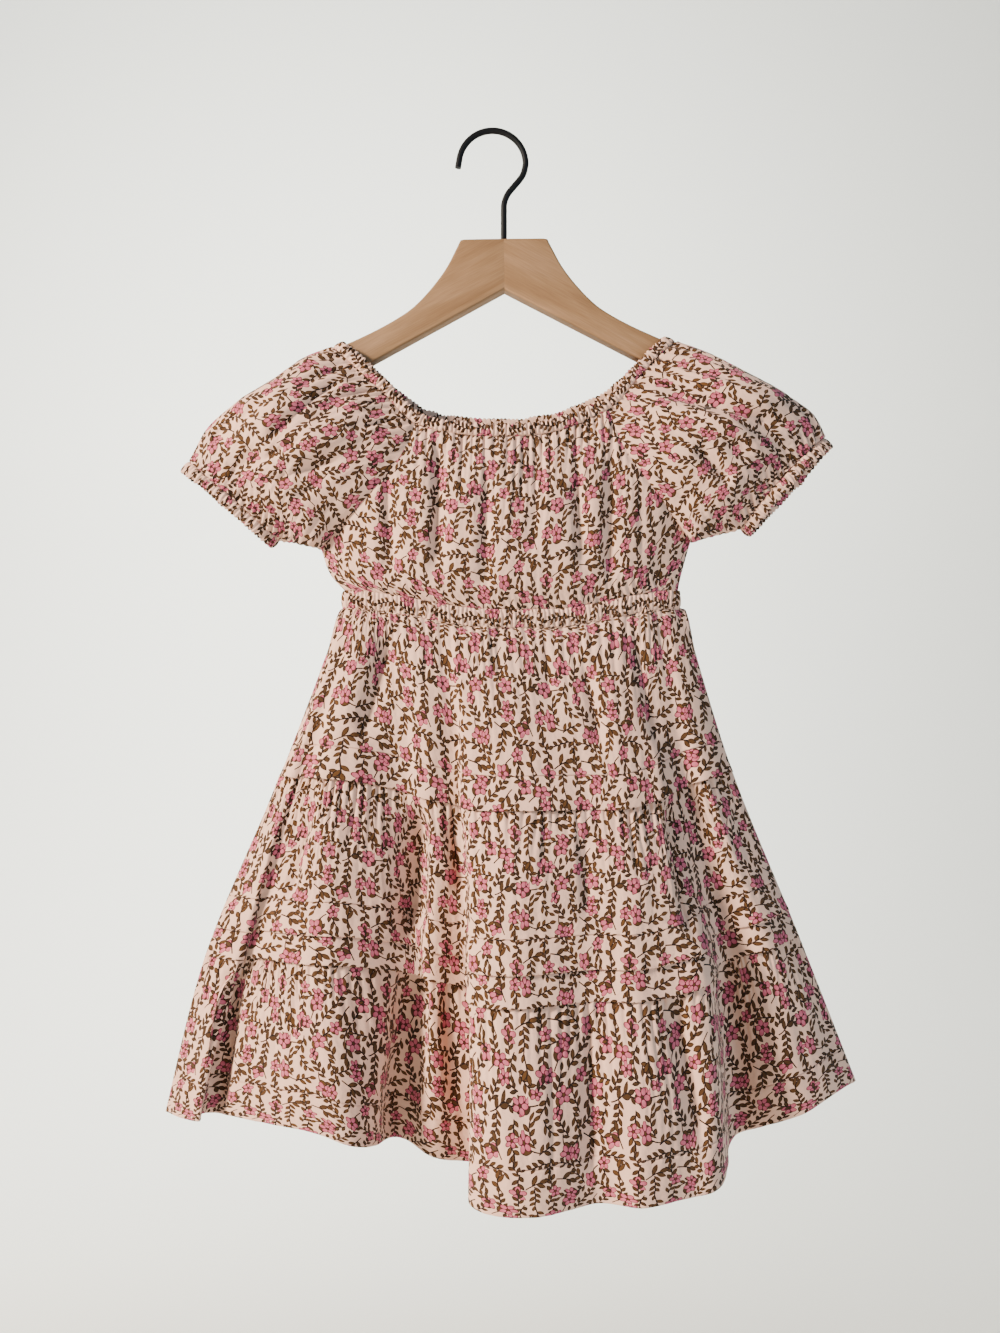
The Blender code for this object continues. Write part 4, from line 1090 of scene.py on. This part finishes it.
LEAF_OCHRE = (0.078, 0.031, 0.0075, 1.0)
PETAL_PINK = (0.34, 0.063, 0.094, 1.0)
PETAL_LIGHT = (0.45, 0.122, 0.165, 1.0)
PETAL_EDGE = (0.06, 0.006, 0.012, 1.0)


def print_cell(n, place, shift, seed):
    """The place in its cell, turned at random, and the cell's random numbers."""
    size = (1.0 / PRINT_CELL,) * 3
    scaled = n.vector("MULTIPLY_ADD", place, size, (*shift, 0.0))
    corner = n.vector("WRAP", n.vector("FLOOR", scaled), (PRINT_REPEAT,) * 3, (0.0,) * 3)
    noise = n.add("TexWhiteNoise", {0: corner, 1: seed}, noise_dimensions="4D")
    colour, value = noise.outputs["Color"], noise.outputs["Value"]
    share = n.vector("SUBTRACT", n.vector("FRACTION", scaled), (0.5, 0.5, 0.0))
    moved = n.vector("MULTIPLY_ADD", colour, (PRINT_JITTER,) * 3, (-0.5 * PRINT_JITTER,) * 3)
    inside = n.vector("MULTIPLY_ADD", share, (PRINT_CELL,) * 3, moved)
    angle = n.times(value, 40.0 * math.pi)
    turned = n.add("VectorRotate", {"Vector": inside, "Angle": angle}, rotation_type="Z_AXIS")
    return turned.outputs[0], n.add("SeparateXYZ", {0: colour}).outputs


def flower(n, x, y, radius):
    """Distances to a five-petalled flower's edge and from its middle."""
    far = n.math("SQRT", n.times(x, x, n.times(y, y)))
    turn = n.math("DIVIDE", n.math("ARCTAN2", y, x), PETAL_TURN)
    turn = n.times(n.math("FRACT", turn), PETAL_TURN, -0.5 * PETAL_TURN)
    along = n.times(far, n.math("COSINE", turn), -0.56 * radius)
    aside = n.times(far, n.times(n.math("SINE", turn), 1.3))
    squared = n.times(along, along, n.times(aside, aside))
    return n.minus(n.math("SQRT", squared), 0.42 * radius), far


def add_sprig(n, colour, place, sprig):
    """Lays one sprig of the print over a colour."""
    (shift, seed, pitch, middle, reach, length, half_width,
     start, end, radius, flower_share) = sprig
    local, random = print_cell(n, place, shift, seed)
    x, y = n.split(local)
    bend = n.times(random[0], 0.09, -0.045)
    bent = n.times(n.times(x, x), bend, y)
    up = n.math("ABSOLUTE", bent)
    middle_x, half_length = 0.5 * (start + end), 0.5 * (end - start)
    stem_end = n.minus(n.math("ABSOLUTE", n.math("ADD", x, -middle_x)), half_length)
    stem = n.math("MAXIMUM", n.minus(up, STEM_HALF_WIDTH), stem_end)
    turns = n.times(n.math("SIGN", bent), 0.25, n.math("DIVIDE", x, pitch))
    pair = n.math("FLOOR", turns)
    cell = n.times(n.minus(turns, pair), pitch)
    uneven = n.times(pair, 0.618, random[1])
    uneven = n.math("FRACT", n.times(n.math("SIGN", bent), 0.31, uneven))
    run, lean = math.cos(LEAF_ANGLE), math.sin(LEAF_ANGLE)
    along = n.times(up, lean, n.times(cell, run))
    aside = n.times(up, run, n.times(cell, -lean))
    reached = n.times(uneven, LEAF_UNEVEN * length, LEAF_SHORTEST * length)
    share = n.math("DIVIDE", along, reached)
    bulge = n.times(share, n.minus(1.0, share))
    leaf = n.times(bulge, -4.0 * half_width, n.math("ABSOLUTE", aside))
    shown = n.math("COMPARE", pair, middle, reach)
    leaf = n.times(n.minus(1.0, shown), FAR_AWAY, leaf)
    tip = n.math("DIVIDE", n.minus(x, end - 0.3), 0.9 * length)
    bulge = n.times(tip, n.minus(1.0, tip))
    leaf = n.math("MINIMUM", leaf, n.times(bulge, -4.0 * half_width, up))
    colour = n.blend(n.inside(n.math("MINIMUM", leaf, stem)), colour, INK_BROWN)
    ink = n.blend(random[1], LEAF_OLIVE, LEAF_OCHRE)
    colour = n.blend(n.inside(leaf, -LEAF_OUTLINE), colour, ink)
    edge, far = flower(n, n.math("ADD", x, -end - 0.3 * radius), bent, radius)
    gone = n.math("GREATER_THAN", random[2], flower_share)
    edge = n.times(gone, FAR_AWAY, edge)
    colour = n.blend(n.inside(edge), colour, PETAL_EDGE)
    ink = n.blend(n.math("DIVIDE", far, radius), PETAL_LIGHT, PETAL_PINK)
    return n.blend(n.inside(edge, -PETAL_OUTLINE), colour, ink)


def printed_colour(n, place):
    """The cotton's ground with its sprigs printed on."""
    colour = n.blend(n.noise(place, None, 0.02, 1.0), GROUND, GROUND_SHADE)
    for sprig in SPRIGS:
        colour = add_sprig(n, colour, place, sprig)
    return colour


def make_cotton():
    """Printed cotton lawn: the print, a fine weave, slubs and a soft sheen."""
    material, n, shader = new_material("printed_cotton", {
        "Roughness": 0.88, "Sheen Weight": 0.08, "Sheen Roughness": 0.45,
        "Specular IOR Level": 0.15})
    cut = n.add("UVMap", uv_map="cut").outputs[0]
    place = n.vector("MULTIPLY", cut, (1000.0, 1000.0, 0.0))
    slubs = n.noise(place, (3.0, 0.25, 0.0), 1.0, 1.0)
    colour = n.scale(printed_colour(n, place), n.span(slubs, 0.94, 1.04))
    waves = n.vector("SINE", n.vector("MULTIPLY", place, (14.0, 14.0, 0.0)))
    weave = n.bump(n.times(*n.split(waves)), 0.5, 0.00006)
    crumple = n.noise(place, None, 0.35, 1.0)
    link_surface(n, shader, colour, n.bump(crumple, 0.6, 0.0006, Normal=weave))
    return material


def make_wood(name, out):
    """Oiled alder with its grain along the arm that runs out to one side."""
    material, n, shader = new_material(name, {"Specular IOR Level": 0.12})
    place = n.add("TexCoord").outputs["Object"]
    turned = n.add("VectorRotate", {"Vector": place, "Angle": -out * HANGER_SLOPE},
                   rotation_type="Y_AXIS").outputs[0]
    rings = n.noise(turned, (9.0, 60.0, 75.0), 1.0, 5.0, Distortion=0.6)
    pores = n.noise(turned, (60.0, 900.0, 1400.0), 1.0, 2.0)
    ramp = n.add("ValToRGB", {0: rings})
    stops = ramp.color_ramp.elements
    stops[0].position, stops[0].color = 0.30, (0.150, 0.078, 0.036, 1.0)
    stops[1].position, stops[1].color = 0.72, (0.245, 0.142, 0.077, 1.0)
    middle = stops.new(0.5)
    middle.color = (0.198, 0.111, 0.055, 1.0)
    dark = n.add("MapRange", {0: pores, 1: 0.35, 2: 0.65, 3: 0.86, 4: 1.03}).outputs[0]
    link_surface(n, shader, n.scale(ramp.outputs[0], dark), n.bump(pores, 0.25, 0.0002),
                 n.span(pores, 0.55, 0.7))
    return material


def make_wire():
    """A satin black coat on steel wire, slightly uneven."""
    material, n, shader = new_material("black_lacquer", {"Specular IOR Level": 0.08})
    noise = n.noise(n.add("TexCoord").outputs["Object"], None, 900.0, 2.0)
    colour = n.blend(noise, (0.003, 0.003, 0.0035, 1.0), (0.006, 0.006, 0.007, 1.0))
    link_surface(n, shader, colour, n.bump(noise, 0.15, 0.0001), n.span(noise, 0.45, 0.6))
    return material


def make_thread():
    """Peach sewing thread, with the twist of its plies as fine ridges."""
    material, n, shader = new_material("sewing_thread", {"Roughness": 0.7})
    noise = n.noise(n.add("TexCoord").outputs["Object"], None, 2600.0, 1.0)
    colour = n.blend(noise, (0.42, 0.22, 0.145, 1.0), (0.56, 0.32, 0.22, 1.0))
    link_surface(n, shader, colour, n.bump(noise, 0.4, 0.00008))
    return material


def poly_curve(name, dimensions, bevel, steps, route):
    """Curve data with a bevel, and its spline straight from point to point in mm."""
    data = bpy.data.curves.new(name, "CURVE")
    data.dimensions = dimensions
    data.bevel_depth = bevel * MM
    data.bevel_resolution = steps
    spline = data.splines.new("POLY")
    spline.points.add(len(route) - 1)
    for point, place in zip(spline.points, route):
        point.co = (*(value * MM for value in place), 1.0)
    return data, spline


def curve_to_piece(name, data, place, turn, material):
    """Turns curve data into a mesh object whose place is in its vertices."""
    holder = new_object(name + "_curve", data)
    holder.location = place
    holder.rotation_euler = turn
    bpy.context.view_layer.update()
    evaluated = holder.evaluated_get(bpy.context.evaluated_depsgraph_get())
    mesh = bpy.data.meshes.new_from_object(evaluated)
    mesh.transform(holder.matrix_world)
    bpy.data.objects.remove(holder)
    welded = bmesh.new()
    welded.from_mesh(mesh)
    bmesh.ops.remove_doubles(welded, verts=welded.verts, dist=0.00001)
    bmesh.ops.recalc_face_normals(welded, faces=welded.faces)
    welded.to_mesh(mesh)
    welded.free()
    mesh.name = name
    mesh.materials.clear()
    mesh.materials.append(material)
    mesh.shade_smooth()
    mesh.set_sharp_from_angle(angle=math.radians(35.0))
    return new_object(name, mesh)


def hanger_outline(out):
    """One arm's outline in x and z; out is 1 to the right and -1 to the left.

    It passes the middle by its rounded edge, so the arms close as if glued.
    """
    tip_low = HANGER_PEAK_Z - HANGER_HALF_SPAN * math.tan(HANGER_SLOPE)
    tip_high = tip_low + HANGER_TIP_RISE
    shoulder = through(HANGER_SHOULDER, np.linspace(0.0, 1.0, 60)).tolist()
    rows = [(-HANGER_EDGE, HANGER_PEAK_Z), (-HANGER_EDGE, HANGER_TOP_Z - 0.3),
            (HANGER_EDGE, HANGER_TOP_Z), (26.5, HANGER_TOP_Z - 0.1), *shoulder]
    rows += [(HANGER_HALF_SPAN - 6.0, tip_high + 1.0), (HANGER_HALF_SPAN - 2.5, tip_high - 1.6),
             (HANGER_HALF_SPAN - 0.6, tip_high - 5.5), (HANGER_HALF_SPAN, tip_low + 6.0),
             (HANGER_HALF_SPAN - 1.4, tip_low + 3.4), (HANGER_HALF_SPAN - 5.0, tip_low + 3.0)]
    return [(out * x, z) for x, z in rows]


def add_hanger():
    for side, out in (("left", -1.0), ("right", 1.0)):
        name = f"hanger_arm_{side}"
        outline = [(x, z, 0.0) for x, z in hanger_outline(out)]
        data, spline = poly_curve(name, "2D", HANGER_EDGE, 4, outline)
        data.fill_mode = "BOTH"
        data.extrude = (0.5 * HANGER_THICK - HANGER_EDGE) * MM
        data.offset = -HANGER_EDGE * MM
        spline.use_cyclic_u = True
        place = ((HANGER_X + HANGER_TOP_Z * math.sin(HANGER_LEAN)) * MM, 0.0, 0.0)
        turn = (math.pi / 2.0, -HANGER_LEAN, 0.0)
        material = make_wood(f"oiled_wood_{side}", out)
        piece = curve_to_piece(name + "_wood", data, place, turn, material)
        place_piece(piece, name)


def add_hook():
    centre_z = 0.5 * WIRE_THICK - HOOK_RADIUS
    knots = [(HANGER_X, HANGER_TOP_Z - 2.0), *HOOK_STEM,
             (HOOK_CENTRE_X + HOOK_RADIUS, centre_z)]
    stem = through(knots, np.linspace(0.0, 1.0, 57))[:-1].tolist()
    angles = np.linspace(0.0, HOOK_END_ANGLE, HOOK_ARC_STEPS + 1)
    arc = [(HOOK_CENTRE_X + HOOK_RADIUS * math.cos(a), centre_z + HOOK_RADIUS * math.sin(a))
           for a in angles]
    low = (HANGER_X, HANGER_TOP_Z - STEM_BORE_DEPTH + SEAM_GAP)
    end = (arc[-1][0] - HOOK_END_LENGTH * math.sin(HOOK_END_ANGLE),
           arc[-1][1] + HOOK_END_LENGTH * math.cos(HOOK_END_ANGLE))
    route = [(x, 0.0, z) for x, z in (low, *stem, *arc, end)]
    data, _ = poly_curve("hanger_hook", "3D", 0.5 * WIRE_THICK + WIRE_COAT, 6, route)
    data.use_fill_caps = True
    piece = curve_to_piece("hanger_hook_wire", data, (0.0, 0.0, 0.0), (0.0, 0.0, 0.0),
                           make_wire())
    place_piece(piece, "hanger_hook")


def add_stage():
    """A plain pale sweep behind the dress, the lights and the camera."""
    profile = [(-SWEEP_FRONT, FLOOR_Z)]
    for angle in np.linspace(0.0, 0.5 * math.pi, 17):
        profile.append((SWEEP_BACK - SWEEP_BEND * (1.0 - math.sin(angle)),
                        FLOOR_Z + SWEEP_BEND * (1.0 - math.cos(angle))))
    profile.append((SWEEP_BACK, FLOOR_Z + SWEEP_HEIGHT))
    y, z = np.array(profile).T
    x = np.linspace(-SWEEP_SIDE, SWEEP_SIDE, 3)
    points = stack(x[None, :], y[:, None], z[:, None])
    rows, columns = points.shape[:2]
    index = np.arange(rows * columns).reshape(rows, columns)
    quads = np.stack(grid_corners(index), axis=-1).reshape(-1, 4)
    paint, _, _ = new_material("pale_paint", {"Base Color": (0.86, 0.86, 0.80, 1.0),
                                              "Roughness": 0.9})
    sweep = new_object("sweep", new_mesh("sweep", points.reshape(-1, 3), quads, paint))

    world = bpy.data.worlds.new("studio")
    bpy.context.scene.world = world
    world.use_nodes = True
    world.node_tree.nodes["Background"].inputs[0].default_value = (0.70, 0.86, 1.0, 1.0)
    world.node_tree.nodes["Background"].inputs[1].default_value = 0.25
    lights = (
        # name, place, what it points at, size, power, colour
        ("window", (-2025.0, -1125.0, 620.0), (0.0, 0.0, -400.0), 480.0, 268.0, (1.0, 0.87, 0.73)),
        ("fill", (1600.0, -1200.0, 0.0), (0.0, 0.0, -400.0), 1600.0, 31.0, (0.58, 0.80, 1.0)),
        ("backdrop", (-500.0, 300.0, 350.0), (-700.0, 2600.0, 850.0), 1500.0, 138.0,
         (0.94, 1.0, 1.0)),
    )
    for name, place, target, size, power, colour in lights:
        data = bpy.data.lights.new(name, "AREA")
        data.size = size * MM
        data.energy = power
        data.color = colour
        lamp = new_object(name, data)
        lamp.location = [value * MM for value in place]
        aim = Vector(target) - Vector(place)
        lamp.rotation_euler = aim.to_track_quat("-Z", "Y").to_euler()

    camera_data = bpy.data.cameras.new("camera")
    camera_data.lens = CAMERA_LENS
    camera_data.sensor_width = CAMERA_SENSOR
    camera_data.clip_start = 0.01
    camera_data.clip_end = 50.0
    camera = new_object("camera", camera_data)
    camera.location = [value * MM for value in CAMERA_PLACE]
    camera.rotation_euler = (0.5 * math.pi, 0.0, 0.0)
    bpy.context.scene.camera = camera


# What each cloth piece hangs from
HELD_BY = {
    "neck_casing": ("hanger_arm_left_wood", "hanger_arm_right_wood"),
    "front_bodice": ("neck_casing_cloth",),
    "back_bodice": ("neck_casing_cloth",),
    "sleeve_left": ("neck_casing_cloth",),
    "sleeve_right": ("neck_casing_cloth",),
    "cuff_casing_left": ("sleeve_left_cloth",),
    "cuff_casing_right": ("sleeve_right_cloth",),
    "waist_casing": ("front_bodice_cloth", "back_bodice_cloth"),
    "tier_1_front": ("waist_casing_cloth",),
    "tier_1_back": ("waist_casing_cloth",),
    "tier_2_front": ("tier_1_front_cloth",),
    "tier_2_back": ("tier_1_back_cloth",),
    "tier_3_front": ("tier_2_front_cloth",),
    "tier_3_back": ("tier_2_back_cloth",),
}

# The cloth that each piece of stitches runs along
STITCHED = {
    "hem_stitches": ("tier_3_front", "tier_3_back"),
    "tuck_stitches": ("tier_1_front", "tier_2_front", "tier_1_back", "tier_2_back"),
    "casing_stitches": ("cuff_casing_left", "cuff_casing_right", "neck_casing",
                        "waist_casing"),
}

add_stage()
COTTON = make_cotton()
THREAD = make_thread()
add_hanger()
add_hook()
made = {}
for face in ("front", "back"):
    made[f"{face}_bodice"] = add_bodice(face)
    for tier in (1, 2, 3):
        made[f"tier_{tier}_{face}"] = add_tier(tier, face)
for side in ("left", "right"):
    made[f"sleeve_{side}"] = add_sleeve(side)
    made[f"cuff_casing_{side}"] = add_casing(
        f"cuff_casing_{side}", lambda t, run, side=side: cuff(side, t, CUFF_CASING_DEPTH - run),
        CUFF_CASING_DEPTH, CUFF_SEED)
made["neck_casing"] = add_casing("neck_casing", neck, NECK_CASING_DEPTH, NECK_SEED)
made["waist_casing"] = add_casing("waist_casing", waist_ring, WAIST_CASING_DEPTH,
                                  WAIST_SEED, both_seams=True)
for name, stitched in STITCHED.items():
    add_stitches(name, [line for sewn in stitched for line in made[sewn][2]])
for name, (piece, flat, _) in made.items():
    size, area = cut_size(flat)
    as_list(HELD_BY[name])
